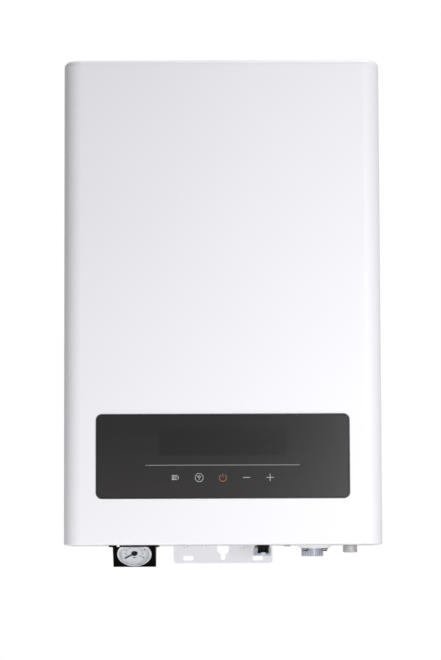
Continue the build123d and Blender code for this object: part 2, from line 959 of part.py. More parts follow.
# Touch board: a sprung pad behind each sign, with its chip and plug on the back
with BuildPart() as touch_board:
    with BuildSketch(Plane.XZ.offset(-board_front)):
        with Locations((0, low + touch_middle)):
            Rectangle(touch_board_width, touch_board_height)
    extrude(amount=-board_sheet)
    for index in range(key_count):
        key_x = (index - (key_count - 1) / 2) * key_pitch
        pad_start = ahead(key_x, board_front, low + key_line)
        rod(pad_start, key_pad_radius, board_front - glass_back - touch)
    block(aback(chip_x, board_back, low + touch_middle), chip_size, chip_size, chip_height)
    block(aback(-chip_x, board_back, low + touch_middle), 2 * chip_size, chip_size, 3 * chip_height)
touch_board.part.label = "touch_board"
export_step(touch_board.part, "parts/touch_board.step")

# Gauge bracket: a folded black pocket that holds the gauge facing forward and down
with BuildPart() as gauge_bracket:
    with BuildSketch(Plane.XY.offset(low)):
        with Locations((gauge_x, flange_front)):
            Rectangle(
                holder_flange_width,
                flange_rear - flange_front,
                align=(Align.CENTER, Align.MIN),
            )
        with Locations((gauge_x, window_front)):
            Rectangle(
                holder_width - 2 * holder_sheet,
                window_rear - window_front,
                align=(Align.CENTER, Align.MIN),
                mode=Mode.SUBTRACT,
            )
        with Locations([(x, holder_screw_y) for x in holder_screw_xs]):
            Circle(screw_hole, mode=Mode.SUBTRACT)
    extrude(amount=-holder_flange_sheet)
    with BuildSketch(Plane.YZ.offset(gauge_x - holder_width / 2)):
        with BuildLine():
            FilletPolyline(
                (window_front + holder_sheet / 2, low - holder_flange_sheet),
                (window_front + holder_sheet / 2, face_point(holder_head)[1]),
                face_point(holder_head),
                face_point(-holder_foot),
                radius=holder_fold,
            )
        trace(line_width=holder_sheet)
    extrude(amount=holder_width)
    cheek_rise = low - holder_flange_sheet / 2 - face_point(-holder_foot)[1]
    for side in (-1, 1):
        with BuildSketch(cheek_plane(side)) as cheek:
            with BuildLine():
                Polyline(
                    (0, 0),
                    (holder_foot + cheek_top, 0),
                    (cheek_rise * math.cos(tilt), cheek_rise * math.sin(tilt)),
                    close=True,
                )
            make_face()
        extrude(cheek.sketch, amount=holder_sheet, dir=(-side, 0, 0))
    rod(gauge_plane.offset(holder_sheet), gauge_case_radius + touch, -3 * holder_sheet, mode=Mode.SUBTRACT)
gauge_bracket.part.label = "gauge_bracket"
export_step(gauge_bracket.part, "parts/gauge_bracket.step")

# Gauge case: a drawn cup whose rim sits on the bracket, with the boss of the capillary behind
case_inner = gauge_case_radius - gauge_wall
with BuildPart() as gauge_case:
    turned(
        [
            (0, -gauge_case_depth),
            (gauge_case_radius, -gauge_case_depth),
            (gauge_case_radius, 0),
            (bezel_radius - bezel_wall - touch, 0),
            (bezel_radius - bezel_wall - touch, rim_height),
            (case_inner, rim_height),
            (case_inner, -gauge_case_depth + gauge_wall),
            (0, -gauge_case_depth + gauge_wall),
        ],
        gauge_plane,
    )
    rod(gauge_plane.offset(-gauge_case_depth), boss_radius, -boss_length)
gauge_case.part.label = "gauge_case"
export_step(gauge_case.part, "parts/gauge_case.step")

# Bezel: rolled over the rim of the case, its lip holding the lens
lens_top = bezel_height - bezel_lip
with BuildPart() as gauge_bezel:
    turned(
        [
            (bezel_radius - bezel_wall, 0),
            (bezel_radius, bezel_wall / 2),
            (bezel_radius, bezel_wall),
            (bezel_radius - bezel_wall, rim_height + bezel_wall),
            (bezel_radius - bezel_shoulder, lens_top),
            (bezel_radius - bezel_shoulder - bezel_lip, bezel_height),
            (dial_view_radius + bezel_wall, bezel_height),
            (dial_view_radius, lens_top),
            (lens_radius + touch, lens_top),
            (lens_radius + touch, rim_height),
            (bezel_radius - bezel_wall, rim_height),
        ],
        gauge_plane,
    )
gauge_bezel.part.label = "gauge_bezel"
export_step(gauge_bezel.part, "parts/gauge_bezel.step")

# Dial: a flat plate with a sloping ring that carries the lens
with BuildPart() as gauge_dial:
    turned(
        [
            (dial_hole, -dial_sink),
            (lens_radius, -dial_sink),
            (lens_radius, lens_top - lens_thickness),
            (lens_radius - gauge_wall, lens_top - lens_thickness),
            (dial_flat_radius, -dial_sink + dial_thickness),
            (dial_hole, -dial_sink + dial_thickness),
        ],
        gauge_plane,
    )
gauge_dial.part.label = "gauge_dial"
export_step(gauge_dial.part, "parts/gauge_dial.step")

with BuildPart() as gauge_lens:
    rod(gauge_plane.offset(lens_top - lens_thickness), lens_radius, lens_thickness)
gauge_lens.part.label = "gauge_lens"
export_step(gauge_lens.part, "parts/gauge_lens.step")

# Needle: a tapered pointer, a domed hub and the arbor that turns in the movement
zero_turn = math.radians(needle_zero)
needle_plane = Plane(
    origin=gauge_plane.offset(needle_level).origin,
    x_dir=gauge_plane.x_dir * math.cos(zero_turn) + gauge_plane.y_dir * math.sin(zero_turn),
    z_dir=gauge_plane.z_dir,
)
with BuildPart() as gauge_needle:
    with BuildSketch(needle_plane):
        with BuildLine():
            Polyline(
                (-needle_tail, -needle_half),
                (needle_reach, -needle_tip),
                (needle_reach, needle_tip),
                (-needle_tail, needle_half),
                close=True,
            )
        make_face()
    extrude(amount=needle_sheet)
    rod(needle_plane.offset(-needle_sheet), needle_hub, 3 * needle_sheet)
    with BuildSketch(needle_plane.offset(2 * needle_sheet)) as dome:
        Circle(needle_hub)
    extrude(amount=needle_sheet, taper=35)
    rod(needle_plane, arbor_radius, -arbor_length)
gauge_needle.part.label = "gauge_needle"
export_step(gauge_needle.part, "parts/gauge_needle.step")

# Movement: a base with its plate on pillars, and the curved pressure tube on its socket
movement_floor = -gauge_case_depth + gauge_wall
with BuildPart() as gauge_movement:
    rod(gauge_plane.offset(movement_floor), tube_ring + tube_half, gauge_wall)
    turned(
        [
            (tube_ring - tube_half, tube_level - tube_rise),
            (tube_ring + tube_half, tube_level - tube_rise),
            (tube_ring + tube_half, tube_level + tube_rise),
            (tube_ring - tube_half, tube_level + tube_rise),
        ],
        gauge_plane,
        sweep_angle=tube_arc,
    )
    with Locations(gauge_plane.offset(movement_floor)):
        with Locations((tube_ring, 0)):
            Box(
                2 * tube_half,
                3 * tube_half,
                tube_level + tube_rise - movement_floor,
                align=(Align.CENTER, Align.CENTER, Align.MIN),
            )
    rod(gauge_plane.offset(plate_level), plate_disc, gauge_wall)
    with Locations(gauge_plane.offset(movement_floor)):
        with PolarLocations(pillar_ring, 3, start_angle=60):
            Cylinder(
                pillar_radius,
                plate_level - movement_floor,
                align=(Align.CENTER, Align.CENTER, Align.MIN),
            )
    arbor_start = gauge_plane.offset(plate_level - gauge_wall)
    rod(arbor_start, arbor_radius + arbor_fit, 3 * gauge_wall, mode=Mode.SUBTRACT)
gauge_movement.part.label = "gauge_movement"
export_step(gauge_movement.part, "parts/gauge_movement.step")

# Capillary from the gauge to the return pipe
boss_end = gauge_plane.offset(-gauge_case_depth - boss_length).origin
capillary_y = boss_end.Y + capillary_run
capillary_rise = capillary_run * math.tan(tilt)
with BuildPart() as gauge_capillary:
    pipe(
        [
            boss_end,
            (gauge_x, capillary_y, boss_end.Z + capillary_rise),
            (gauge_x + capillary_jog, capillary_y, capillary_z),
            (return_x, capillary_y, capillary_z),
            (return_x, return_y - pipe_radius - capillary_boss, capillary_z),
        ],
        capillary_bend,
        capillary_radius,
    )
gauge_capillary.part.label = "gauge_capillary"
export_step(gauge_capillary.part, "parts/gauge_capillary.step")

# Fill valve body: chamber, seat and outlet, standing on the bottom plate
with BuildPart() as fill_valve_body:
    valve = at(fill_x, fill_y, low)
    turned(
        [
            (bonnet_radius, base_sheet),
            (valve_radius, base_sheet),
            (valve_radius, valve_height),
            (0, valve_height),
            (0, valve_height - valve_wall),
            (plug_radius + valve_room, valve_height - valve_wall),
            (plug_radius + valve_room, valve_seat_z + seat_web),
            (fill_bore, valve_seat_z + seat_web),
            (fill_bore, valve_seat_z),
            (plug_radius + plug_gap, valve_seat_z),
            (plug_radius + plug_gap, bonnet_top),
            (bonnet_radius, bonnet_top),
        ],
        valve,
    )
    inlet = aside(fill_x, fill_y, low + fill_port_z)
    outlet = aback(fill_x, fill_y, low + fill_outlet_z)
    port_start = plug_radius + 2 * valve_room
    bore_start = plug_radius - valve_room
    outlet_reach = return_y - pipe_radius - branch_reach - fill_y
    for port_plane, reach in ((inlet, inlet_reach), (outlet, outlet_reach)):
        rod(port_plane.offset(port_start), fill_pipe_radius, reach - port_start)
        rod(port_plane.offset(bore_start), fill_bore, reach, mode=Mode.SUBTRACT)
fill_valve_body.part.label = "fill_valve_body"
export_step(fill_valve_body.part, "parts/fill_valve_body.step")

# Bonnet: closes the chamber below and guides the spindle
with BuildPart() as fill_valve_bonnet:
    rod(valve.offset(bonnet_foot), bonnet_radius, bonnet_top - bonnet_foot)
    rod(valve.offset(bonnet_foot), spindle_radius + spindle_fit, bonnet_top, mode=Mode.SUBTRACT)
fill_valve_bonnet.part.label = "fill_valve_bonnet"
export_step(fill_valve_bonnet.part, "parts/fill_valve_bonnet.step")

# Spindle: turns with the knob, held up by its collar, and drives the plug along its thread
with BuildPart() as fill_spindle:
    rod(valve.offset(-spindle_foot), spindle_radius, spindle_foot + spindle_head)
    rod(valve.offset(bonnet_top + touch), collar_radius, collar_height)
    rod(valve.offset(-spindle_foot), knob_screw_radius, knob_screw_depth, mode=Mode.SUBTRACT)
fill_spindle.part.label = "fill_spindle"
export_step(fill_spindle.part, "parts/fill_spindle.step")

# Plug: lifts off its seat as the spindle turns
with BuildPart() as fill_plug:
    plug_foot = valve_seat_z - plug_length
    rod(valve.offset(plug_foot), plug_radius, plug_length - touch / 2)
    rod(valve.offset(plug_foot), spindle_radius + touch, plug_socket, mode=Mode.SUBTRACT)
fill_plug.part.label = "fill_plug"
export_step(fill_plug.part, "parts/fill_plug.step")

# Knob: waisted, with four lobes below made by two crossed grooves
with BuildPart() as fill_knob:
    turned(
        [
            (0, knob_above),
            (knob_radius, knob_above),
            (knob_radius, -knob_drop * 0.13),
            (knob_waist + 0.3, -knob_drop * 0.28),
            (knob_waist, -knob_drop * 0.48),
            (knob_waist + 0.2, -knob_drop * 0.68),
            (knob_lobe, -knob_drop * 0.8),
            (knob_lobe, -knob_drop * 0.9),
            (knob_lobe - 1, -knob_drop),
            (0, -knob_drop),
        ],
        valve,
    )
    groove_level = low - knob_drop - knob_groove_radius + knob_groove_depth
    across = ahead(fill_x, fill_y + 2 * knob_radius, groove_level)
    along = aside(fill_x - 2 * knob_radius, fill_y, groove_level)
    rod(across, knob_groove_radius, 4 * knob_radius, mode=Mode.SUBTRACT)
    rod(along, knob_groove_radius, 4 * knob_radius, mode=Mode.SUBTRACT)
    rod(valve.offset(-spindle_foot), spindle_radius, spindle_foot + knob_above, mode=Mode.SUBTRACT)
    rod(valve.offset(-spindle_foot - knob_web), knob_screw_radius + touch, knob_web, mode=Mode.SUBTRACT)
    rod(valve.offset(-spindle_foot - knob_web), knob_screw_head + touch, -knob_drop, mode=Mode.SUBTRACT)
fill_knob.part.label = "fill_knob"
export_step(fill_knob.part, "parts/fill_knob.step")

with BuildPart() as fill_knob_screw:
    rod(valve.offset(-spindle_foot - knob_web), knob_screw_head, -knob_screw_radius)
    rod(valve.offset(-spindle_foot - knob_web), knob_screw_radius, knob_web + knob_screw_depth - touch)
fill_knob_screw.part.label = "fill_knob_screw"
export_step(fill_knob_screw.part, "parts/fill_knob_screw.step")

# Heating return: a nipple with a shoulder on the plate and its thread below
with BuildPart() as return_stub:
    turned(
        [
            (water_bore, -return_drop),
            (thread_three_quarter - thread_chamfer, -return_drop),
            (thread_three_quarter, -return_drop + thread_chamfer),
            (thread_three_quarter, -return_neck_drop - thread_chamfer),
            (thread_three_quarter - thread_chamfer, -return_neck_drop),
            (return_neck_radius, -return_neck_drop),
            (return_neck_radius, base_sheet),
            (shoulder_radius, base_sheet),
            (shoulder_radius, base_sheet + shoulder_height),
            (pipe_radius, base_sheet + shoulder_height),
            (pipe_radius, return_stub_top),
            (water_bore, return_stub_top),
        ],
        at(return_x, return_y, low),
    )
return_stub.part.label = "return_stub"
export_step(return_stub.part, "parts/return_stub.step")

# Heating flow: a fluted coupling with a female thread, on the dished seat under the plate
with BuildPart() as flow_union:
    turned(
        [
            (female_three_quarter, -union_drop),
            (union_radius - thread_chamfer, -union_drop),
            (union_radius, -union_drop + thread_chamfer),
            (union_radius, -seat_height),
            (union_neck_radius, -seat_height),
            (union_neck_radius, union_top),
            (water_bore, union_top),
            (water_bore, union_thread_depth - union_drop),
            (female_three_quarter, union_thread_depth - union_drop),
        ],
        at(union_x, union_y, low),
    )
    with Locations((union_x, union_y, low - union_drop)):
        with PolarLocations(union_radius + flute_radius / 2, flute_count):
            Cylinder(
                flute_radius,
                union_drop - seat_height - flute_radius,
                align=(Align.CENTER, Align.CENTER, Align.MIN),
                mode=Mode.SUBTRACT,
            )
flow_union.part.label = "flow_union"
export_step(flow_union.part, "parts/flow_union.step")

with BuildPart() as flow_seat:
    with BuildSketch(Plane.XY.offset(low - seat_height)):
        with Locations((seat_x, seat_y)):
            RectangleRounded(seat_width, seat_length, seat_corner)
    with BuildSketch(Plane.XY.offset(low)):
        with Locations((seat_x, seat_y)):
            RectangleRounded(
                seat_width + 2 * seat_flare,
                seat_length + 2 * seat_flare,
                seat_corner + seat_flare,
            )
    loft()
    seat_floor = at(union_x, union_y, low - seat_height)
    rod(seat_floor, union_neck_radius + sheet_fit, seat_height, mode=Mode.SUBTRACT)
    for screw_x in seat_screw_xs:
        rod(at(screw_x, seat_screw_y, low - seat_height), screw_hole, seat_height, mode=Mode.SUBTRACT)
flow_seat.part.label = "flow_seat"
export_step(flow_seat.part, "parts/flow_seat.step")

# Cold fill: a nipple with its thread below and the fill pipe above
with BuildPart() as cold_stub:
    turned(
        [
            (cold_bore, -cold_drop),
            (thread_half - 1.5 * thread_chamfer, -cold_drop),
            (thread_half, -cold_drop + 1.5 * thread_chamfer),
            (thread_half, -cold_neck_drop),
            (cold_neck_radius, -cold_neck_drop),
            (cold_neck_radius, base_sheet),
            (cold_shoulder, base_sheet),
            (cold_shoulder, base_sheet + shoulder_height),
            (fill_pipe_radius + cold_web, base_sheet + shoulder_height),
            (fill_pipe_radius + cold_web, cold_top),
            (fill_bore, cold_top),
            (fill_bore, cold_top - cold_web),
            (cold_bore, cold_top - cold_web),
        ],
        at(cold_x, cold_y, low),
    )
cold_stub.part.label = "cold_stub"
export_step(cold_stub.part, "parts/cold_stub.step")

with BuildPart() as fill_pipe:
    pipe(
        [
            (cold_x, cold_y, low + cold_top),
            (cold_x, cold_y, low + fill_port_z),
            (cold_x, fill_y, low + fill_port_z),
            (fill_x + inlet_reach, fill_y, low + fill_port_z),
        ],
        [fill_bend_low, fill_bend],
        fill_pipe_radius,
        fill_bore,
    )
fill_pipe.part.label = "fill_pipe"
export_step(fill_pipe.part, "parts/fill_pipe.step")

# Rubber grommets for the mains cable and the control cable
with BuildPart() as cable_grommets:
    for grommet_x, grommet_radius, cable_radius in grommets:
        turned(
            [
                (cable_radius, -grommet_drop),
                (cable_radius + grommet_wall, -grommet_drop),
                (grommet_radius, -grommet_rim),
                (grommet_radius, 0),
                (grommet_radius - grommet_lip, 0),
                (grommet_radius - grommet_lip, base_sheet),
                (grommet_radius, base_sheet),
                (grommet_radius, base_sheet + 2 * grommet_rim),
                (cable_radius + grommet_wall * 0.75, base_sheet + grommet_drop + grommet_rim),
                (cable_radius, base_sheet + grommet_drop + grommet_rim),
            ],
            at(grommet_x, grommet_y, low),
        )
cable_grommets.part.label = "cable_grommets"
export_step(cable_grommets.part, "parts/cable_grommets.step")

# Heating vessel: a welded steel shell with a necked head, an inlet behind and an outlet beside
with BuildPart() as heater_tank:
    tank = at(tank_x, tank_y)
    neck_top = tank_top + neck_height
    crown = tank_dish * 0.3
    turned(
        [
            (0, tank_bottom),
            (tank_radius - tank_dish, tank_bottom),
            (tank_radius - crown, tank_bottom + crown),
            (tank_radius, tank_bottom + tank_dish),
            (tank_radius, tank_top - tank_dish),
            (tank_radius - crown, tank_top - crown),
            (neck_radius, tank_top),
            (neck_radius, neck_top - head_flange_sheet),
            (head_flange_radius, neck_top - head_flange_sheet),
            (head_flange_radius, neck_top),
            (neck_radius - tank_wall, neck_top),
            (neck_radius - tank_wall, tank_top - tank_wall),
            (tank_radius - crown - tank_wall, tank_top - crown - tank_wall),
            (tank_radius - tank_wall, tank_top - tank_dish),
            (tank_radius - tank_wall, tank_bottom + tank_dish),
            (tank_radius - crown - tank_wall, tank_bottom + crown + tank_wall),
            (tank_radius - tank_dish, tank_bottom + tank_wall),
            (0, tank_bottom + tank_wall),
        ],
        tank,
    )
    tank_inlet = aback(tank_x, tank_y, riser_turn)
    tank_outlet = aside(tank_x, tank_y, flow_level)
    for opening in (tank_inlet, tank_outlet):
        shell_start = opening.offset(tank_radius - tank_wall / 2)
        rod(shell_start, pipe_radius, jacket_radius + stub_clear - tank_radius + tank_wall / 2)
    for opening in (tank_inlet, tank_outlet):
        rod(opening.offset(tank_radius - 3 * tank_wall), water_bore, tank_radius, mode=Mode.SUBTRACT)
    for index in range(bolt_count):
        bolt_hole = bolt_place(index, neck_top)
        rod(bolt_hole, bolt_radius + touch, -head_flange_sheet, mode=Mode.SUBTRACT)
heater_tank.part.label = "heater_tank"
export_step(heater_tank.part, "parts/heater_tank.step")

# Insulating jacket round the vessel, cut for its pipes and the limit thermostat
with BuildPart() as tank_jacket:
    jacket_low = tank_bottom + tank_dish / 2
    jacket_length = tank_top - tank_dish / 2 - jacket_low
    rod(tank.offset(jacket_low), jacket_radius, jacket_length)
    rod(tank.offset(jacket_low), tank_radius + jacket_fit, jacket_length, mode=Mode.SUBTRACT)
    for opening in (tank_inlet, tank_outlet):
        rod(opening, pipe_radius + jacket_fit, 2 * tank_radius, mode=Mode.SUBTRACT)
    rod(ahead(tank_x, tank_y, thermostat_z), thermostat_window, 2 * tank_radius, mode=Mode.SUBTRACT)
tank_jacket.part.label = "tank_jacket"
export_step(tank_jacket.part, "parts/tank_jacket.step")

# Immersion elements: three bent rods brazed into one head flange, each with two terminals
head_low = neck_top + gasket_sheet
with BuildPart() as heater_elements:
    rod(tank.offset(head_low), head_flange_radius, head_flange_sheet)
    for index in range(element_count):
        turn = 2 * math.pi * index / element_count
        outward = Vector(math.cos(turn), math.sin(turn), 0)
        middle = Vector(tank_x, tank_y, 0) + outward * element_circle
        aside_step = Vector(-outward.Y, outward.X, 0) * (element_leg_gap / 2)
        leg_tops = (middle + aside_step, middle - aside_step)
        leg_high = Vector(0, 0, head_low + head_flange_sheet)
        leg_low = Vector(0, 0, head_low - element_length)
        pipe(
            [
                leg_tops[0] + leg_high,
                leg_tops[0] + leg_low,
                leg_tops[1] + leg_low,
                leg_tops[1] + leg_high,
            ],
            element_leg_gap / 2 - touch,
            element_radius,
        )
        for leg in leg_tops:
            terminal = at(leg.X, leg.Y, head_low + head_flange_sheet)
            hexagon(terminal, 2 * element_radius, terminal_nut)
            rod(terminal, terminal_radius, terminal_height)
    for index in range(bolt_count):
        bolt_hole = bolt_place(index, head_low)
        rod(bolt_hole, bolt_radius + touch, head_flange_sheet, mode=Mode.SUBTRACT)
heater_elements.part.label = "heater_elements"
export_step(heater_elements.part, "parts/heater_elements.step")

with BuildPart() as heater_gasket:
    rod(tank.offset(neck_top), head_flange_radius, gasket_sheet)
    rod(tank.offset(neck_top), neck_radius - tank_wall, gasket_sheet, mode=Mode.SUBTRACT)
    for index in range(bolt_count):
        rod(bolt_place(index, neck_top), bolt_radius + touch, gasket_sheet, mode=Mode.SUBTRACT)
heater_gasket.part.label = "heater_gasket"
export_step(heater_gasket.part, "parts/heater_gasket.step")

# Bolts with their nuts round the head flange
with BuildPart() as heater_bolts:
    grip = 2 * head_flange_sheet + gasket_sheet
    for index in range(bolt_count):
        head_seat = bolt_place(index, head_low + head_flange_sheet)
        rod(head_seat, bolt_radius, -grip - bolt_nut)
        hexagon(head_seat, bolt_across, bolt_head)
        hexagon(bolt_place(index, neck_top - head_flange_sheet), bolt_across, -bolt_nut)
heater_bolts.part.label = "heater_bolts"
export_step(heater_bolts.part, "parts/heater_bolts.step")

# Saddles: a band round the jacket and a leg back to the rear panel
with BuildPart() as tank_saddles:
    band_inner = jacket_radius + touch
    for level, sides in saddle_levels:
        band = tank.offset(level - saddle_width / 2)
        rod(band, band_inner + saddle_sheet, saddle_width)
        for side in sides:
            leg = (tank_x + side * (band_inner + saddle_sheet / 2), (tank_y + saddle_foot_y) / 2)
            block(at(*leg, level - saddle_width / 2), saddle_sheet, saddle_foot_y - tank_y, saddle_width)
            foot = (tank_x + side * (band_inner + saddle_foot / 2), saddle_foot_y - saddle_sheet / 2)
            block(at(*foot, level - saddle_width / 2), saddle_foot, saddle_sheet, saddle_width)
        rod(band, band_inner, saddle_width, mode=Mode.SUBTRACT)
tank_saddles.part.label = "tank_saddles"
export_step(tank_saddles.part, "parts/tank_saddles.step")

# Pump volute: ports in line, the suction led to the eye and the outlet taken from the rim
pump_axis = ahead(return_x, volute_front, pump_z)
port_plane = at(return_x, return_y, pump_z)
chamber_radius = impeller_radius + impeller_gap
with BuildPart() as pump_volute:
    rod(pump_axis, volute_radius, volute_front - volute_back)
    rod(port_plane.offset(-pump_half), port_radius, 2 * pump_half)
    for level in (-pump_half, pump_half - port_thread):
        rod(port_plane.offset(level), port_thread_radius, port_thread)
    rod(pump_axis, chamber_radius, -chamber_depth, mode=Mode.SUBTRACT)
    rod(port_plane.offset(-pump_half), water_bore, pump_half, mode=Mode.SUBTRACT)
    outlet_depth = pump_half + water_bore - chamber_radius
    rod(port_plane.offset(pump_half), water_bore, -outlet_depth, mode=Mode.SUBTRACT)
    eye = aback(return_x, volute_front, pump_z)
    rod(eye, eye_radius, return_y - volute_front, mode=Mode.SUBTRACT)
    rim_outlet = aback(return_x, volute_front, pump_z + chamber_radius - water_bore)
    rod(rim_outlet, eye_radius, return_y - volute_front, mode=Mode.SUBTRACT)
pump_volute.part.label = "pump_volute"
export_step(pump_volute.part, "parts/pump_volute.step")

# Motor: a ribbed can with its connection box on top
with BuildPart() as pump_motor:
    rod(pump_axis, motor_radius, motor_length)
    chamfer(pump_motor.faces().sort_by(Axis.Y)[0].edges(), motor_bevel)
    with Locations(pump_axis.offset(motor_length * 0.2)):
        with PolarLocations(motor_radius, motor_ribs):
            Box(
                motor_rib_depth,
                motor_rib_width,
                motor_length * 0.6,
                align=(Align.CENTER, Align.CENTER, Align.MIN),
                mode=Mode.SUBTRACT,
            )
    box_floor = at(return_x, volute_front - motor_length / 2, pump_z + motor_radius - motor_box_sink)
    block(box_floor, motor_box_width, motor_box_length, motor_box_height)
    rod(pump_axis.offset(bearing_length), rotor_radius + rotor_gap, rotor_room, mode=Mode.SUBTRACT)
    rod(pump_axis, shaft_radius + shaft_fit, rotor_room + 2 * bearing_length, mode=Mode.SUBTRACT)
pump_motor.part.label = "pump_motor"
export_step(pump_motor.part, "parts/pump_motor.step")

# Rotor: can, shaft and an impeller with swept vanes
with BuildPart() as pump_rotor:
    rotor_start = bearing_length + rotor_end_gap
    rod(pump_axis.offset(rotor_start), rotor_radius, rotor_room - 2 * rotor_end_gap)
    shaft_length = impeller_start + rotor_room + 2 * bearing_length - touch
    rod(pump_axis.offset(-impeller_start), shaft_radius, shaft_length)
    rod(pump_axis.offset(-impeller_start), impeller_radius, -impeller_web)
    rod(pump_axis.offset(-impeller_start), impeller_hub, -impeller_width)
    with Locations(pump_axis.offset(-impeller_start - impeller_width)):
        with PolarLocations(vane_ring, vane_count):
            Box(
                vane_length,
                vane_sheet,
                impeller_width,
                rotation=(0, 0, vane_angle),
                align=(Align.CENTER, Align.CENTER, Align.MIN),
            )
pump_rotor.part.label = "pump_rotor"
export_step(pump_rotor.part, "parts/pump_rotor.step")

with BuildPart() as pump_union_nuts:
    for side in (-1, 1):
        joint = Plane(origin=(return_x, return_y, pump_z + side * pump_half), z_dir=(0, 0, side))
        hexagon(joint.offset(-nut_height / 2), nut_across, nut_height)
        rod(joint, port_thread_radius + touch, -nut_height / 2, mode=Mode.SUBTRACT)
        rod(joint, pipe_radius + touch, nut_height / 2, mode=Mode.SUBTRACT)
pump_union_nuts.part.label = "pump_union_nuts"
export_step(pump_union_nuts.part, "parts/pump_union_nuts.step")

# Return pipe below the pump, with branches for the fill valve, the capillary and the vessel hose
with BuildPart() as return_pipe:
    return_pipe_low = at(return_x, return_y, low + return_stub_top)
    return_pipe_length = pump_z - pump_half - low - return_stub_top
    rod(return_pipe_low, pipe_radius, return_pipe_length)
    fill_branch = ahead(return_x, return_y, low + fill_outlet_z)
    rod(fill_branch, fill_pipe_radius, pipe_radius + branch_reach)
    rod(ahead(return_x, return_y, capillary_z), capillary_boss_radius, pipe_radius + capillary_boss)
    hose_branch = Plane(origin=(return_x, return_y, hose_z), z_dir=(-1, 0, 0))
    rod(hose_branch, hose_radius, pipe_radius + hose_spigot)
    rod(return_pipe_low, water_bore, return_pipe_length, mode=Mode.SUBTRACT)
    rod(fill_branch, fill_bore, pipe_radius + branch_reach, mode=Mode.SUBTRACT)
    rod(hose_branch, hose_bore, pipe_radius + hose_spigot, mode=Mode.SUBTRACT)
return_pipe.part.label = "return_pipe"
export_step(return_pipe.part, "parts/return_pipe.step")

# Riser from the pump to the foot of the vessel, with a boss for the safety valve
with BuildPart() as riser_pipe:
    pipe(
        [
            (return_x, return_y, pump_z + pump_half),
            (return_x, return_y, riser_turn),
            (return_x, tank_y + jacket_radius + stub_clear, riser_turn),
        ],
        riser_bend,
        pipe_radius,
        water_bore,
    )
    relief_boss = aside(return_x + boss_start, return_y, relief_z)
    rod(relief_boss, relief_inlet_radius, relief_boss_reach + pipe_radius - boss_start)
    rod(relief_boss.offset(-pipe_wall), fill_bore, relief_boss_reach + pipe_radius, mode=Mode.SUBTRACT)
riser_pipe.part.label = "riser_pipe"
export_step(riser_pipe.part, "parts/riser_pipe.step")

# Flow pipe from the vessel's head down to the coupling, with a boss for the air vent
with BuildPart() as flow_pipe:
    pipe(
        [
            (tank_x + jacket_radius + stub_clear, tank_y, flow_level),
            (flow_x, tank_y, flow_level),
            (flow_x, union_y, flow_level),
            (flow_x, union_y, low + flow_jog_high),
            (union_x, union_y, low + flow_jog_low),
            (union_x, union_y, low + union_top),
        ],
        [flow_bend, flow_bend, flow_bend, flow_bend],
        pipe_radius,
        water_bore,
    )
    vent_boss = at(flow_x, vent_y, flow_level + boss_start)
    rod(vent_boss, vent_boss_radius, pipe_radius - boss_start + vent_boss_reach)
    rod(vent_boss.offset(-pipe_wall), vent_bore, pipe_radius + vent_boss_reach, mode=Mode.SUBTRACT)
flow_pipe.part.label = "flow_pipe"
export_step(flow_pipe.part, "parts/flow_pipe.step")

# Automatic air vent: body, float and the cap on its nozzle
vent_foot = flow_level + pipe_radius + vent_boss_reach
vent_top = vent_foot + vent_height
with BuildPart() as air_vent_body:
    turned(
        [
            (vent_bore, vent_foot),
            (vent_boss_radius, vent_foot),
            (vent_boss_radius, vent_foot + vent_neck),
            (vent_radius, vent_foot + vent_neck),
            (vent_radius, vent_top),
            (nozzle_radius, vent_top),
            (nozzle_radius, vent_top + nozzle_height),
            (nozzle_bore, vent_top + nozzle_height),
            (nozzle_bore, vent_top - 2 * vent_wall),
            (vent_radius - vent_wall, vent_top - 2 * vent_wall),
            (vent_radius - vent_wall, vent_foot + vent_neck + vent_wall),
            (vent_bore, vent_foot + vent_neck + vent_wall),
        ],
        at(flow_x, vent_y),
    )
air_vent_body.part.label = "air_vent_body"
export_step(air_vent_body.part, "parts/air_vent_body.step")

with BuildPart() as air_vent_float:
    float_foot = at(flow_x, vent_y, vent_foot + vent_neck + vent_wall + touch)
    rod(float_foot, float_radius, float_height)
    chamfer(air_vent_float.faces().sort_by(Axis.Z)[-1].edges(), vent_wall)
air_vent_float.part.label = "air_vent_float"
export_step(air_vent_float.part, "parts/air_vent_float.step")

with BuildPart() as air_vent_cap:
    turned(
        [
            (nozzle_radius, vent_top + vent_wall),
            (cap_radius, vent_top + vent_wall),
            (cap_radius, vent_top + nozzle_height + vent_wall),
            (0, vent_top + nozzle_height + vent_wall),
            (0, vent_top + nozzle_height),
            (nozzle_radius, vent_top + nozzle_height),
        ],
        at(flow_x, vent_y),
    )
air_vent_cap.part.label = "air_vent_cap"
export_step(air_vent_cap.part, "parts/air_vent_cap.step")

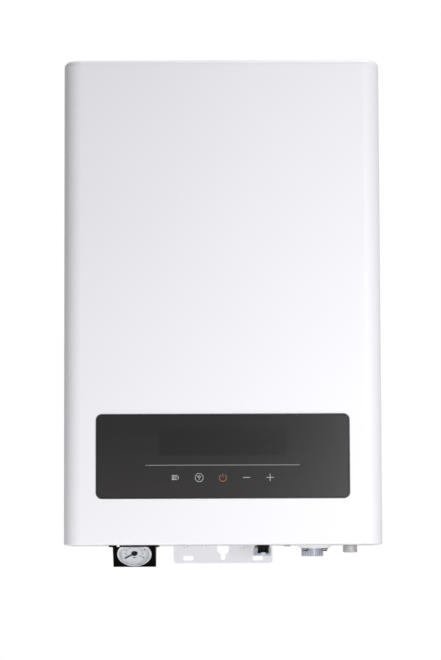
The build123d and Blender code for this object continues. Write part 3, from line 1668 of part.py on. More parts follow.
# Safety valve: body with side inlet and rear outlet, stem, spring and turning cap
relief = at(drain_x, return_y)
relief_foot = relief_z - relief_inlet_radius - relief_wall
with BuildPart() as safety_valve_body:
    turned(
        [
            (0, relief_foot),
            (relief_radius, relief_foot),
            (relief_radius, relief_roof + relief_wall),
            (collar_outer, relief_roof + relief_wall),
            (collar_outer, relief_collar_top),
            (stem_radius + spindle_fit, relief_collar_top),
            (stem_radius + spindle_fit, relief_roof),
            (relief_chamber, relief_roof),
            (relief_chamber, relief_seat),
            (fill_bore, relief_seat),
            (fill_bore, relief_seat - seat_web),
            (relief_throat, relief_seat - seat_web),
            (relief_throat, relief_foot + relief_wall),
            (0, relief_foot + relief_wall),
        ],
        relief,
    )
    relief_inlet = Plane(origin=(drain_x, return_y, relief_z), z_dir=(-1, 0, 0))
    inlet_length = drain_x - return_x - pipe_radius - relief_boss_reach
    side_start = relief_radius - seat_web
    rod(relief_inlet.offset(side_start), relief_inlet_radius, inlet_length - side_start)
    rod(relief_inlet, fill_bore, inlet_length, mode=Mode.SUBTRACT)
    relief_outlet = aback(drain_x, return_y, relief_outlet_z)
    rod(relief_outlet.offset(side_start), outlet_radius, relief_outlet_reach - side_start)
    rod(relief_outlet, drain_bore, relief_outlet_reach, mode=Mode.SUBTRACT)
safety_valve_body.part.label = "safety_valve_body"
export_step(safety_valve_body.part, "parts/safety_valve_body.step")

with BuildPart() as safety_valve_stem:
    rod(relief.offset(relief_seat + touch / 2), stem_disc_radius, stem_disc)
    rod(relief.offset(relief_seat + touch / 2), stem_radius, stem_top - relief_seat)
safety_valve_stem.part.label = "safety_valve_stem"
export_step(safety_valve_stem.part, "parts/safety_valve_stem.step")

# Spring between the disc and the roof, wound as quarter turns
spring_low = relief_seat + touch / 2 + stem_disc + spring_wire
spring_high = relief_roof - spring_wire


def spring_point(quarters):
    """A point on the spring's centre line, counted in quarter turns from its foot."""
    turn = quarters * math.pi / 2
    rise = (spring_high - spring_low) * quarters / (4 * spring_turns)
    return (
        drain_x + spring_mean * math.cos(turn),
        return_y + spring_mean * math.sin(turn),
        spring_low + rise,
    )


with BuildPart() as safety_valve_spring:
    with BuildLine() as coil:
        for quarter in range(4 * spring_turns):
            ThreePointArc(spring_point(quarter), spring_point(quarter + 0.5), spring_point(quarter + 1))
    with BuildSketch(Plane(origin=coil.line @ 0, z_dir=coil.line % 0)):
        Circle(spring_wire)
    sweep(path=coil.line)
safety_valve_spring.part.label = "safety_valve_spring"
export_step(safety_valve_spring.part, "parts/safety_valve_spring.step")

with BuildPart() as safety_valve_cap:
    cap_low = relief_collar_top - cap_skirt
    rod(relief.offset(cap_low), relief_knob_radius, relief_knob_height)
    with Locations((drain_x, return_y, cap_low + cap_skirt)):
        with PolarLocations(relief_knob_radius + cap_grip_radius / 2.5, cap_grips):
            Cylinder(
                cap_grip_radius,
                relief_knob_height,
                align=(Align.CENTER, Align.CENTER, Align.MIN),
                mode=Mode.SUBTRACT,
            )
    rod(relief.offset(cap_low), collar_outer + reset_fit, cap_skirt + touch, mode=Mode.SUBTRACT)
    stem_room = stem_top + relief_lift + stem_radius / 2 - cap_low
    rod(relief.offset(cap_low), stem_radius + touch, stem_room, mode=Mode.SUBTRACT)
safety_valve_cap.part.label = "safety_valve_cap"
export_step(safety_valve_cap.part, "parts/safety_valve_cap.step")

with BuildPart() as drain_pipe:
    pipe(
        [
            (drain_x, return_y + relief_outlet_reach, relief_outlet_z),
            (drain_x, drain_y, relief_outlet_z),
            (drain_x, drain_y, low - drain_drop),
        ],
        drain_bend,
        drain_radius,
        drain_bore,
    )
drain_pipe.part.label = "drain_pipe"
export_step(drain_pipe.part, "parts/drain_pipe.step")

# Expansion vessel: two pressed halves with a rolled seam and a port low on the rim
vessel_half = (vessel_back - vessel_front) / 2
vessel_middle = (vessel_back + vessel_front) / 2
with BuildPart() as expansion_vessel:
    vessel = ahead(vessel_x, vessel_middle, vessel_z)
    rod(vessel.offset(-vessel_half), vessel_radius, 2 * vessel_half)
    fillet(expansion_vessel.edges().filter_by(GeomType.CIRCLE), vessel_round)
    offset(amount=-vessel_wall, mode=Mode.SUBTRACT)
    rod(vessel.offset(-vessel_seam), vessel_radius + vessel_seam, 2 * vessel_seam)
    rod(vessel.offset(-vessel_seam), vessel_radius - vessel_wall, 2 * vessel_seam, mode=Mode.SUBTRACT)
    turn = math.radians(port_angle)
    port = Plane(origin=(vessel_x, vessel_middle, vessel_z), z_dir=(math.cos(turn), 0, math.sin(turn)))
    rod(port.offset(vessel_radius - vessel_wall / 2), port_outer, port_reach)
    port_bore_length = port_reach + 2 * vessel_wall
    rod(port.offset(vessel_radius - 2 * vessel_wall), hose_bore, port_bore_length, mode=Mode.SUBTRACT)
expansion_vessel.part.label = "expansion_vessel"
export_step(expansion_vessel.part, "parts/expansion_vessel.step")

# Cradle: two bent strips that carry the vessel's seam
with BuildPart() as vessel_cradle:
    with BuildSketch(Plane.XZ.offset(rear_sheet)):
        for start, arc in cradle_arcs:
            with BuildLine():
                CenterArc((vessel_x, vessel_z), cradle_radius, start, arc)
            trace(line_width=saddle_sheet)
    extrude(amount=-vessel_middle - rear_sheet + cradle_past)
vessel_cradle.part.label = "vessel_cradle"
export_step(vessel_cradle.part, "parts/vessel_cradle.step")

port_end = port.offset(vessel_radius - vessel_wall / 2 + port_reach).origin
with BuildPart() as vessel_hose:
    pipe(
        [
            port_end,
            port_end + port.z_dir * hose_lead,
            (port_end.X + port.z_dir.X * hose_lead, return_y, hose_z),
            (return_x - pipe_radius - hose_spigot, return_y, hose_z),
        ],
        [hose_bend_top, hose_bend],
        hose_radius,
        hose_bore,
    )
vessel_hose.part.label = "vessel_hose"
export_step(vessel_hose.part, "parts/vessel_hose.step")

# Electrical tray: a folded sheet that stands off the rear panel and carries the boards
with BuildPart() as electrical_tray:
    with BuildSketch(Plane.XY.offset(tray_low)):
        with BuildLine():
            FilletPolyline(
                (tray_left + tray_foot, -rear_sheet - tray_sheet / 2),
                (tray_left, -rear_sheet - tray_sheet / 2),
                (tray_left, tray_y),
                (tray_right, tray_y),
                (tray_right, tray_y + tray_lip),
                radius=2 * tray_sheet,
            )
        trace(line_width=tray_sheet)
    extrude(amount=tray_high - tray_low)
    for post_x in (board_x - board_width * 0.45, board_x + board_width * 0.45):
        for post_z in (board_z - board_height * 0.45, board_z + board_height * 0.45):
            rod(ahead(post_x, tray_y, post_z), post_radius, standoff)
electrical_tray.part.label = "electrical_tray"
export_step(electrical_tray.part, "parts/electrical_tray.step")

# Power board with its relays, transformer, capacitors and finned heat sink
power_face = tray_y - standoff - board_sheet
with BuildPart() as power_board:
    block(ahead(board_x, tray_y - standoff, board_z), board_width, board_height, board_sheet)
    for index in range(relay_count):
        relay_x = board_x + (index - (relay_count - 1) / 2) * relay_pitch
        block(ahead(relay_x, power_face, board_z - relay_row), relay_width, relay_height, relay_depth)
    block(ahead(board_x - coil_x, power_face, board_z + coil_z), coil_width, coil_height, coil_depth)
    for step in (0, can_pitch):
        rod(ahead(board_x - can_x + step, power_face, board_z + can_z), can_radius, can_length)
    plug_strip = ahead(board_x + plug_strip_x, power_face, board_z)
    block(plug_strip, plug_strip_width, plug_strip_height, plug_strip_depth)
    sink_plane = ahead(board_x + sink_x, power_face, board_z + sink_z)
    block(sink_plane, sink_width, sink_height, sink_base)
    with Locations(sink_plane.offset(sink_base)):
        with GridLocations(sink_width / sink_fins, 0, sink_fins, 1):
            Box(sink_fin, sink_height, sink_depth, align=(Align.CENTER, Align.CENTER, Align.MIN))
power_board.part.label = "power_board"
export_step(power_board.part, "parts/power_board.step")

# Terminal block for the mains and the control cables
with BuildPart() as terminal_block:
    rail = ahead(board_x, tray_y - tray_sheet / 2, rail_z)
    block(rail, rail_width, rail_height, rail_depth)
    with Locations(rail.offset(rail_depth)):
        with GridLocations(rail_width / rail_ways, 0, rail_ways + 1, 1):
            Box(rail_wall, rail_height, rail_wall_rise, align=(Align.CENTER, Align.CENTER, Align.MIN))
        with GridLocations(rail_width / rail_ways, rail_height * 0.5, rail_ways, 2):
            Cylinder(rail_screw, rail_wall, align=(Align.CENTER, Align.CENTER, Align.MIN))
terminal_block.part.label = "terminal_block"
export_step(terminal_block.part, "parts/terminal_block.step")

# Limit thermostat on the vessel's shell, and its reset button
shell_face = ahead(tank_x, tank_y - tank_radius, thermostat_z)
with BuildPart() as limit_thermostat:
    rod(shell_face.offset(touch), thermostat_radius, thermostat_depth)
    for side in (-1, 1):
        blade = ahead(tank_x + side * blade_offset, shell_face.origin.Y - thermostat_depth, thermostat_z)
        block(blade, clip_sheet, thermostat_radius / 2, thermostat_radius)
    rod(shell_face.offset(reset_sink), reset_radius + reset_fit, thermostat_depth, mode=Mode.SUBTRACT)
limit_thermostat.part.label = "limit_thermostat"
export_step(limit_thermostat.part, "parts/limit_thermostat.step")

with BuildPart() as reset_button:
    rod(shell_face.offset(reset_sink + reset_travel + reset_fit), reset_radius, reset_length)
reset_button.part.label = "reset_button"
export_step(reset_button.part, "parts/reset_button.step")

# Temperature sensors clipped to the flow pipe and the riser
with BuildPart() as temperature_sensors:
    clips = (at(flow_x, union_y, sensor_z), at(return_x, return_y, riser_sensor_z))
    for clip_plane in clips:
        rod(clip_plane, pipe_radius + clip_sheet, clip_width)
        with Locations(clip_plane):
            with Locations((pipe_radius + clip_sheet, 0)):
                Box(sensor_length, sensor_width, clip_width, align=(Align.CENTER, Align.CENTER, Align.MIN))
    for clip_plane in clips:
        rod(clip_plane, pipe_radius, clip_width, mode=Mode.SUBTRACT)
temperature_sensors.part.label = "temperature_sensors"
export_step(temperature_sensors.part, "parts/temperature_sensors.step")
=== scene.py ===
import json
import math

import bmesh
import bpy
from mathutils import Matrix, Vector


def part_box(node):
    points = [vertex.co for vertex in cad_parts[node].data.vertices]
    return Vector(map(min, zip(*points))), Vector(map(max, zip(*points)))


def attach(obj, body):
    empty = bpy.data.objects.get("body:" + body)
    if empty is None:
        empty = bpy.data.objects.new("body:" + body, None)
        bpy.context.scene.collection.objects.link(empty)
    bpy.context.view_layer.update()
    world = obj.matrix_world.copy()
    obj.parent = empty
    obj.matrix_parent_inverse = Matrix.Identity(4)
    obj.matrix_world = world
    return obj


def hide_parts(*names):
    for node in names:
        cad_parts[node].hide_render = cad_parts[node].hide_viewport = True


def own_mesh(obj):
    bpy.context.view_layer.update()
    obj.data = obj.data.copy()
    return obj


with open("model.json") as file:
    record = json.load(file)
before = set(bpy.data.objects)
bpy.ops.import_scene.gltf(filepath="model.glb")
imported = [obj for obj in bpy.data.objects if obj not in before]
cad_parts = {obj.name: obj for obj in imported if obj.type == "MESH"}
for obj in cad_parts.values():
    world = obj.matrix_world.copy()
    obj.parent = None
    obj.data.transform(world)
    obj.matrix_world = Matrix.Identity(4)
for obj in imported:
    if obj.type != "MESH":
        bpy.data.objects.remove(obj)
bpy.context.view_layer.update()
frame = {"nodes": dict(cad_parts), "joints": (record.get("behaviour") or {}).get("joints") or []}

MM = 0.001


def tone(red, green, blue):
    """A colour read off as 0 to 255, made linear."""
    steps = [value / 255 for value in (red, green, blue)]
    linear = [v / 12.92 if v <= 0.04045 else ((v + 0.055) / 1.055) ** 2.4 for v in steps]
    return (*linear, 1.0)


# Shader maths: operators on a wire add Math nodes, and node() adds any other node

class Wire:
    """A socket of a material, or the bare material where there is no socket yet."""

    def __init__(self, tree, socket=None):
        self.tree = tree
        self.socket = socket

    def node(self, kind, settings=None, values=None, output=0):
        """Add a node, its settings first, then its values or wires, and give one output."""
        made = self.tree.nodes.new(kind)
        for name, setting in (settings or {}).items():
            if name == "stops":
                ramp = made.color_ramp.elements
                while len(ramp) < len(setting):
                    ramp.new(0.5)
                for stop, (place, colour) in zip(ramp, setting):
                    stop.position = place
                    stop.color = colour
            else:
                setattr(made, name, setting)
        for name, value in (values or {}).items():
            if isinstance(value, Wire):
                self.tree.links.new(value.socket, made.inputs[name])
            else:
                made.inputs[name].default_value = value
        return Wire(self.tree, made.outputs[output])

    def maths(self, operation, *values):
        return self.node("ShaderNodeMath", {"operation": operation}, dict(enumerate(values)))

    def __add__(self, other):
        return self.maths("ADD", self, other)

    __radd__ = __add__

    def __sub__(self, other):
        return self.maths("SUBTRACT", self, other)

    def __rsub__(self, other):
        return self.maths("SUBTRACT", other, self)

    def __mul__(self, other):
        return self.maths("MULTIPLY", self, other)

    __rmul__ = __mul__

    def __truediv__(self, other):
        return self.maths("DIVIDE", self, other)

    def __rtruediv__(self, other):
        return self.maths("DIVIDE", other, self)

    def __lt__(self, other):
        return self.maths("LESS_THAN", self, other)

    def __abs__(self):
        return self.maths("ABSOLUTE", self)

    def noise(self, place, scale, detail=3.0, roughness=0.5):
        """Smooth noise between 0 and 1 at a place."""
        values = {"Vector": place, "Scale": scale, "Detail": detail, "Roughness": roughness}
        return self.node("ShaderNodeTexNoise", None, values)

    def between(self, low, high):
        """This value from low to high stretched over 0 to 1."""
        values = {"Value": self, "From Min": low, "From Max": high}
        return self.node("ShaderNodeMapRange", {"clamp": True}, values)

    def tint(self, first, second):
        """A colour that goes from first to second as this value goes from 0 to 1."""
        settings = {"data_type": "RGBA"}
        made = self.node("ShaderNodeMix", settings, {0: self}, 2)
        mix = made.socket.node
        for index, colour in ((6, first), (7, second)):
            if isinstance(colour, Wire):
                self.tree.links.new(colour.socket, mix.inputs[index])
            else:
                mix.inputs[index].default_value = colour
        return made


def darker(colour, share):
    """A colour at a share of its light."""
    return tuple(share * part for part in colour[:3]) + (1.0,)


class Finish:
    """One material: a Principled shader, the place on the piece, and what changes over it."""

    def __init__(self, name, colour, sockets):
        self.material = bpy.data.materials.new(name)
        self.material.use_nodes = True
        self.tree = self.material.node_tree
        self.shader = self.tree.nodes["Principled BSDF"]
        self.bare = Wire(self.tree)
        self.place = self.bare.node("ShaderNodeTexCoord", output=3)
        self.shader.inputs["Base Color"].default_value = colour
        for label, value in sockets.items():
            self.shader.inputs[label].default_value = value

    def feed(self, socket, wire):
        self.tree.links.new(wire.socket, self.shader.inputs[socket])

    def bump(self, height, strength, depth):
        """Raise the surface by a height of 0 to 1 times a depth in metres."""
        values = {"Height": height, "Strength": strength, "Distance": depth}
        self.feed("Normal", self.bare.node("ShaderNodeBump", None, values))

    def cells(self, scale, output=0):
        """Cells of a size over the surface."""
        values = {"Vector": self.place, "Scale": scale}
        return self.bare.node("ShaderNodeTexVoronoi", None, values, output)

    def away_from(self, centre):
        """The distance from a point."""
        settings = {"operation": "DISTANCE"}
        return self.bare.node("ShaderNodeVectorMath", settings, {0: self.place, 1: centre}, 1)

    def along(self, axis):
        """The place along one axis."""
        split = self.bare.node("ShaderNodeSeparateXYZ", None, {"Vector": self.place})
        return Wire(self.tree, split.socket.node.outputs[axis])

    def turned(self, x, y, z):
        """The place on the piece, turned about its axes."""
        values = {"Vector": self.place, "Rotation": (x, y, z)}
        return self.bare.node("ShaderNodeMapping", None, values)

    def stretched(self, x, y, z):
        """The place on the piece, stretched along its axes."""
        return self.bare.node("ShaderNodeMapping", None, {"Vector": self.place, "Scale": (x, y, z)})


def powder_coat(name, colour, shade, roughness=0.36, gloss=0.5):
    """Baked powder paint: fine orange peel and a faint drift of tone."""
    finish = Finish(name, colour, {"Specular IOR Level": gloss})
    drift = finish.bare.noise(finish.place, 3.5, 2.0)
    finish.feed("Base Color", drift.between(0.3, 0.7).tint(shade, colour))
    peel = finish.bare.noise(finish.place, 620.0, 2.0)
    finish.feed("Roughness", peel * 0.08 + (roughness - 0.04))
    finish.bump(peel, 0.12, 0.00012)
    return finish


def plated_sheet(name, colour, shade, roughness=0.42):
    """Zinc-plated sheet: faint crystals and rolling lines."""
    finish = Finish(name, colour, {"Metallic": 0.75})
    cells = finish.cells(170.0, 1)
    spangle = finish.bare.node("ShaderNodeSeparateColor", None, {"Color": cells})
    rolled = finish.bare.noise(finish.stretched(900.0, 30.0, 30.0), 1.0, 2.0)
    finish.feed("Base Color", (spangle * 0.6 + rolled * 0.4).tint(shade, colour))
    finish.feed("Roughness", spangle * 0.12 + (roughness - 0.06))
    finish.bump(rolled, 0.05, 0.0001)
    return finish


def turned_metal(name, colour, shade, roughness=0.3, metallic=1.0, rings=2600.0):
    """Metal from the lathe: fine rings along its height and a little tarnish."""
    finish = Finish(name, colour, {"Metallic": metallic})
    tarnish = finish.bare.noise(finish.place, 90.0, 4.0, 0.6)
    finish.feed("Base Color", tarnish.between(0.35, 0.7).tint(colour, shade))
    cuts = finish.bare.noise(finish.stretched(40.0, 40.0, rings), 1.0, 1.0)
    finish.feed("Roughness", tarnish * 0.2 + cuts * 0.08 + (roughness - 0.12))
    finish.bump(cuts, 0.08, 0.00008)
    return finish


def moulded_plastic(name, colour, roughness=0.45, grain=1400.0, depth=0.00006, gloss=0.5):
    """Moulded plastic: a fine spark-eroded grain."""
    finish = Finish(name, colour, {"Specular IOR Level": gloss})
    speck = finish.bare.noise(finish.place, grain, 2.0)
    finish.feed("Roughness", speck * 0.16 + (roughness - 0.08))
    finish.bump(speck, 0.25, depth)
    return finish


def circuit_board(name, mask, track):
    """Solder-masked board with tracks under the mask and bare pads."""
    finish = Finish(name, mask, {"Roughness": 0.35})
    turned = finish.turned(math.pi / 2, 0, 0)
    lanes = finish.bare.node(
        "ShaderNodeTexBrick",
        None,
        {
            "Vector": turned,
            "Scale": 160.0,
            "Mortar Size": 0.09,
            "Brick Width": 1.6,
            "Row Height": 0.35,
        },
        1,
    )
    pads = finish.cells(140.0) < 0.16
    lines = lanes.tint(mask, track)
    finish.feed("Base Color", pads.tint(lines, (0.55, 0.56, 0.56, 1.0)))
    finish.feed("Metallic", pads * 0.9)
    finish.bump(lanes, 0.2, 0.00008)
    return finish


def cast_metal(name, colour, shade):
    """Painted casting: a rough skin."""
    finish = Finish(name, colour, {"Metallic": 0.35})
    skin = finish.bare.noise(finish.place, 260.0, 5.0, 0.65)
    finish.feed("Base Color", skin.tint(shade, colour))
    finish.feed("Roughness", skin * 0.3 + 0.4)
    finish.bump(skin, 0.5, 0.0004)
    return finish


def closed_foam(name, colour, shade):
    """Closed-cell foam with small bubbles."""
    finish = Finish(name, colour, {"Roughness": 0.9})
    cells = finish.bare.node("ShaderNodeTexVoronoi", None, {"Vector": finish.place, "Scale": 420.0})
    finish.feed("Base Color", cells.tint(shade, colour))
    finish.bump(cells, 0.6, 0.0005)
    return finish


def woven_steel(name, colour, shade):
    """Steel braid round a hose: crossing strands."""
    finish = Finish(name, colour, {"Roughness": 0.35, "Metallic": 0.9})
    waves = []
    for lean in (1, -1):
        place = finish.turned(0, 0, lean * 0.8)
        settings = {"wave_type": "BANDS", "bands_direction": "DIAGONAL"}
        values = {"Vector": place, "Scale": 230.0}
        waves.append(finish.bare.node("ShaderNodeTexWave", settings, values, 1))
    weave = waves[0] * waves[1]
    finish.feed("Base Color", weave.tint(shade, colour))
    finish.bump(weave, 0.7, 0.0003)
    return finish


def smoked_glass(name, colour, window):
    """Back-painted glass of the control panel, darker over the display, with a painted reflection
    that makes it paler at its foot.
    """
    finish = Finish(name, colour, {"Specular IOR Level": 0.32})
    across = finish.along(0)
    rise = finish.along(2)
    beside = (abs(across) - window["half_width"]).between(-0.0006, 0.0006)
    above = (abs(rise - window["middle"]) - window["half_height"]).between(-0.0006, 0.0006)
    inside = (1 - beside) * (1 - above)
    mist = finish.bare.noise(finish.stretched(1.0, 1.0, 7.0), 9.0, 4.0, 0.6)
    paint = mist.tint(colour, darker(colour, 0.82))
    # Painted reflection: the colour turns paler towards the foot of the glass, in place of light
    # mirrored from below
    painted_reflection = 1 - rise.between(window["foot"], window["foot"] + window["painted_reflection_height"])
    paint = painted_reflection.tint(paint, window["painted_reflection"])
    finish.feed("Base Color", inside.tint(paint, window["colour"]))
    finish.feed("Roughness", mist * 0.08 + 0.21)
    return finish


def nipple_metal(name, thread, neck, shoulder):
    """Threaded nipple: zinc-grey thread below a level, bare brass neck above it."""
    finish = Finish(name, thread, {"Metallic": 0.55})
    rise = finish.along(2)
    tarnish = finish.bare.noise(finish.place, 140.0, 4.0, 0.6)
    above = rise.between(shoulder - 0.0003, shoulder + 0.0003)
    worn = tarnish.between(0.35, 0.7).tint(thread, darker(thread, 0.8))
    finish.feed("Base Color", above.tint(worn, neck))
    finish.feed("Roughness", tarnish * 0.2 + 0.34)
    finish.bump(tarnish, 0.1, 0.0001)
    return finish


def dial_face(name, colour, rim, centre, flat_radius):
    """Painted dial with a painted shadow of the bezel: the slope between its flat face and the
    bezel is greyer.
    """
    finish = Finish(name, colour, {"Roughness": 0.5})
    # Painted shadow of the bezel: the rim colour shades the dial's slope
    bezel_shadow = finish.away_from(centre).between(flat_radius - 1.2 * MM, flat_radius + 0.4 * MM)
    finish.feed("Base Color", bezel_shadow.tint(colour, rim))
    speck = finish.bare.noise(finish.place, 1400.0, 2.0)
    finish.bump(speck, 0.2, 0.00004)
    return finish


def clear_glass(name):
    """Thin bloomed glass that hardly mirrors the room."""
    finish = Finish(name, (0.99, 0.99, 0.99, 1.0), {"IOR": 1.16, "Transmission Weight": 1.0})
    smear = finish.bare.noise(finish.place, 60.0, 2.0)
    finish.feed("Roughness", smear * 0.04 + 0.01)
    return finish


def printed_ink(name, colour, painted_glow=0.0):
    """Screen-printed ink, a little uneven, with an optional painted glow from emission, though the
    ink is no lamp.
    """
    finish = Finish(name, colour, {"Roughness": 0.5})
    speck = finish.bare.noise(finish.place, 2200.0, 2.0)
    dim = tuple(0.86 * part for part in colour[:3]) + (1.0,)
    finish.feed("Base Color", speck.tint(dim, colour))
    if painted_glow:
        finish.shader.inputs["Emission Color"].default_value = colour
        finish.shader.inputs["Emission Strength"].default_value = painted_glow
    return finish


# Finishes, each for one family of pieces

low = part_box("bottom_plate")[0][2]
display_low, display_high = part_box("display_module")
glass_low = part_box("control_glass")[0]
display_window = {
    "half_width": (display_high[0] - display_low[0]) / 2 - 8 * MM,
    "half_height": (display_high[2] - display_low[2]) / 2 - 7 * MM,
    "middle": (display_high[2] + display_low[2]) / 2,
    "colour": tone(1, 0, 1),
    "foot": glass_low[2],
    # Colour and height of the painted reflection at the foot of the glass
    "painted_reflection": tone(35, 32, 34),
    "painted_reflection_height": 100 * MM,
}

cover_white = powder_coat("cover white", tone(241, 240, 245), tone(239, 238, 243), 0.45, 0.4)
rear_white = powder_coat("rear sheet white", tone(243, 243, 247), tone(240, 240, 245), 0.45)
zinc_sheet = plated_sheet("zinc sheet", tone(196, 198, 201), tone(168, 171, 175))
screw_zinc = turned_metal("screw zinc", tone(224, 224, 223), tone(196, 196, 196), 0.3)
panel_glass = smoked_glass("panel glass", tone(14, 11, 12), display_window)
rim_black = moulded_plastic("rim black", tone(34, 35, 38), 0.35)
board_green = circuit_board("board green", tone(24, 84, 52), tone(46, 122, 74))
holder_black = powder_coat("bracket black", tone(4, 4, 5), tone(2, 2, 3), 0.3, 0.04)
bezel_silver = turned_metal("bezel silver", tone(236, 235, 234), tone(218, 218, 219), 0.32, 0.4)
case_steel = turned_metal("gauge case steel", tone(150, 151, 154), tone(120, 121, 124), 0.4)
needle_joint = next(joint for joint in frame["joints"] if joint["child"] == "gauge_pointer")
dial_flat_radius = 18.9 * MM
# The second colour of the dial is the painted shadow of the bezel on its slope
dial_paint = dial_face(
    "dial paint", tone(196, 200, 207), tone(182, 185, 191), needle_joint["pos_m"], dial_flat_radius
)
dial_ink = printed_ink("dial ink", tone(24, 26, 32))
lens_glass = clear_glass("gauge lens")
needle_black = moulded_plastic("needle black", tone(6, 7, 11), 0.5, gloss=0.1)
brass = turned_metal("brass", tone(206, 160, 92), tone(170, 124, 66), 0.3)
copper = turned_metal("copper", tone(208, 140, 106), tone(160, 98, 70), 0.32)
nipple_grey = nipple_metal("nipple metal", tone(206, 210, 218), tone(150, 104, 62), low - 3.4 * MM)
pipe_dark = turned_metal("drain pipe dark", tone(78, 76, 78), tone(58, 56, 58), 0.5, 0.3)
# Near-black finish of the rings round the seat screws: painted reflection, standing in for the dark
# edges of shiny heads
dark_rim_reflection = moulded_plastic("painted rim reflection", tone(6, 6, 7), 0.45, gloss=0.1)
union_grey = turned_metal("union grey", tone(178, 181, 192), tone(160, 163, 175), 0.42, 0.6)
stub_steel = turned_metal("stub steel", tone(196, 192, 193), tone(182, 178, 179), 0.5, 0.4)
knob_black = moulded_plastic("knob black", tone(8, 8, 9), 0.4, gloss=0.08)
seat_white = moulded_plastic("seat white", tone(252, 251, 254), 0.4)
rubber_black = moulded_plastic("rubber", tone(30, 30, 31), 0.75, 700.0, 0.0001)
vessel_steel = turned_metal("vessel steel", tone(176, 176, 178), tone(146, 146, 150), 0.36)
foam_grey = closed_foam("jacket foam", tone(70, 71, 74), tone(48, 49, 52))
pump_casting = cast_metal("pump casting", tone(70, 70, 74), tone(48, 48, 52))
motor_enamel = powder_coat("motor enamel", tone(46, 50, 58), tone(38, 41, 48), 0.4)
vessel_red = powder_coat("vessel red", tone(170, 34, 28), tone(150, 28, 24), 0.4)
hose_braid = woven_steel("hose braid", tone(190, 190, 192), tone(90, 90, 94))
cap_red = moulded_plastic("cap red", tone(176, 28, 24), 0.35)
natural_plastic = moulded_plastic("natural plastic", tone(220, 218, 208), 0.5)
# The signs on the glass carry a painted glow
sign_grey = printed_ink("sign grey", tone(150, 150, 152), 0.15)
sign_pale = printed_ink("sign pale", tone(206, 206, 208), 0.25)
sign_orange = printed_ink("sign orange", tone(176, 104, 44), 0.2)

node_finishes = {
    "front_cover": cover_white, "bottom_plate": cover_white, "rear_panel": rear_white,
    "wall_bracket": zinc_sheet, "cover_screws": screw_zinc, "underside_screws": screw_zinc,
    "control_glass": panel_glass, "panel_frame": rim_black, "display_module": rim_black,
    "touch_board": board_green, "gauge_bracket": holder_black, "gauge_case": case_steel,
    "gauge_bezel": bezel_silver, "gauge_dial": dial_paint, "gauge_lens": lens_glass,
    "gauge_needle": needle_black, "gauge_movement": brass, "gauge_capillary": copper,
    "fill_valve_body": brass, "fill_valve_bonnet": brass, "fill_spindle": brass, "fill_plug": brass,
    "fill_knob": knob_black, "fill_knob_screw": screw_zinc, "return_stub": nipple_grey,
    "flow_union": union_grey, "flow_seat": seat_white, "cold_stub": stub_steel, "fill_pipe": copper,
    "cable_grommets": rubber_black, "heater_tank": vessel_steel, "tank_jacket": foam_grey,
    "heater_elements": vessel_steel, "heater_gasket": rubber_black, "heater_bolts": screw_zinc,
    "tank_saddles": zinc_sheet, "pump_volute": pump_casting, "pump_motor": motor_enamel,
    "pump_rotor": vessel_steel, "pump_union_nuts": brass, "return_pipe": copper,
    "riser_pipe": copper,
    "flow_pipe": copper, "air_vent_body": brass, "air_vent_float": natural_plastic,
    "air_vent_cap": rubber_black, "safety_valve_body": brass, "safety_valve_stem": brass,
    "safety_valve_spring": screw_zinc, "safety_valve_cap": cap_red, "drain_pipe": pipe_dark,
    "expansion_vessel": vessel_red, "vessel_cradle": zinc_sheet, "vessel_hose": hose_braid,
    "electrical_tray": zinc_sheet, "power_board": board_green, "terminal_block": natural_plastic,
    "limit_thermostat": rim_black, "reset_button": cap_red, "temperature_sensors": brass,
}
for node, finish in node_finishes.items():
    for slot in frame["nodes"][node].material_slots:
        slot.material = finish.material


# Making pieces

def to_piece(name, mesh, finish, body="casing"):
    """An object at the origin that rides on a body."""
    piece = bpy.data.objects.new(name, mesh)
    bpy.context.scene.collection.objects.link(piece)
    mesh.materials.clear()
    mesh.materials.append(finish.material)
    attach(piece, body)
    return piece


def set_down(mesh, place):
    """Move a mesh's points to a place and keep its faces outward."""
    mesh.transform(place)
    if place.determinant() < 0:
        mesh.flip_normals()
    mesh.update()
    return mesh


def through_tree(mesh, tree, inputs):
    """Run a mesh or a curve through a Geometry Nodes tree and give the mesh that comes out."""
    carrier = bpy.data.objects.new("carrier", mesh)
    bpy.context.scene.collection.objects.link(carrier)
    modifier = carrier.modifiers.new("tree", "NODES")
    modifier.node_group = tree
    sockets = {
        item.name: item.identifier for item in tree.interface.items_tree if item.in_out == "INPUT"
    }
    for name, value in inputs.items():
        modifier[sockets[name]] = value
    ready = carrier.evaluated_get(bpy.context.evaluated_depsgraph_get())
    made = bpy.data.meshes.new_from_object(ready)
    carrier.modifiers.remove(modifier)
    bpy.data.objects.remove(carrier)
    return made


class Tree:
    """A Geometry Nodes tree with named inputs, one mesh in and one mesh out."""

    def __init__(self, name, **inputs):
        self.group = bpy.data.node_groups.new(name, "GeometryNodeTree")
        face = self.group.interface
        face.new_socket("Geometry", in_out="INPUT", socket_type="NodeSocketGeometry")
        for label, (kind, value) in inputs.items():
            socket = face.new_socket(label.replace("_", " "), in_out="INPUT", socket_type=kind)
            if value is not None:
                socket.default_value = value
        face.new_socket("Geometry", in_out="OUTPUT", socket_type="NodeSocketGeometry")
        self.start = self.group.nodes.new("NodeGroupInput")
        self.end = self.group.nodes.new("NodeGroupOutput")

    def node(self, kind, settings=None, values=None):
        made = self.group.nodes.new(kind)
        for name, setting in (settings or {}).items():
            setattr(made, name, setting)
        for name, value in (values or {}).items():
            if isinstance(value, bpy.types.NodeSocket):
                self.group.links.new(value, made.inputs[name])
            else:
                made.inputs[name].default_value = value
        return made

    def finish(self, geometry):
        """End in Realize Instances and Set Material."""
        real = self.node("GeometryNodeRealizeInstances", None, {"Geometry": geometry})
        painted = self.node(
            "GeometryNodeSetMaterial",
            None,
            {"Geometry": real.outputs[0], "Material": self.start.outputs["Finish"]},
        )
        self.group.links.new(painted.outputs[0], self.end.inputs[0])
        return self.group


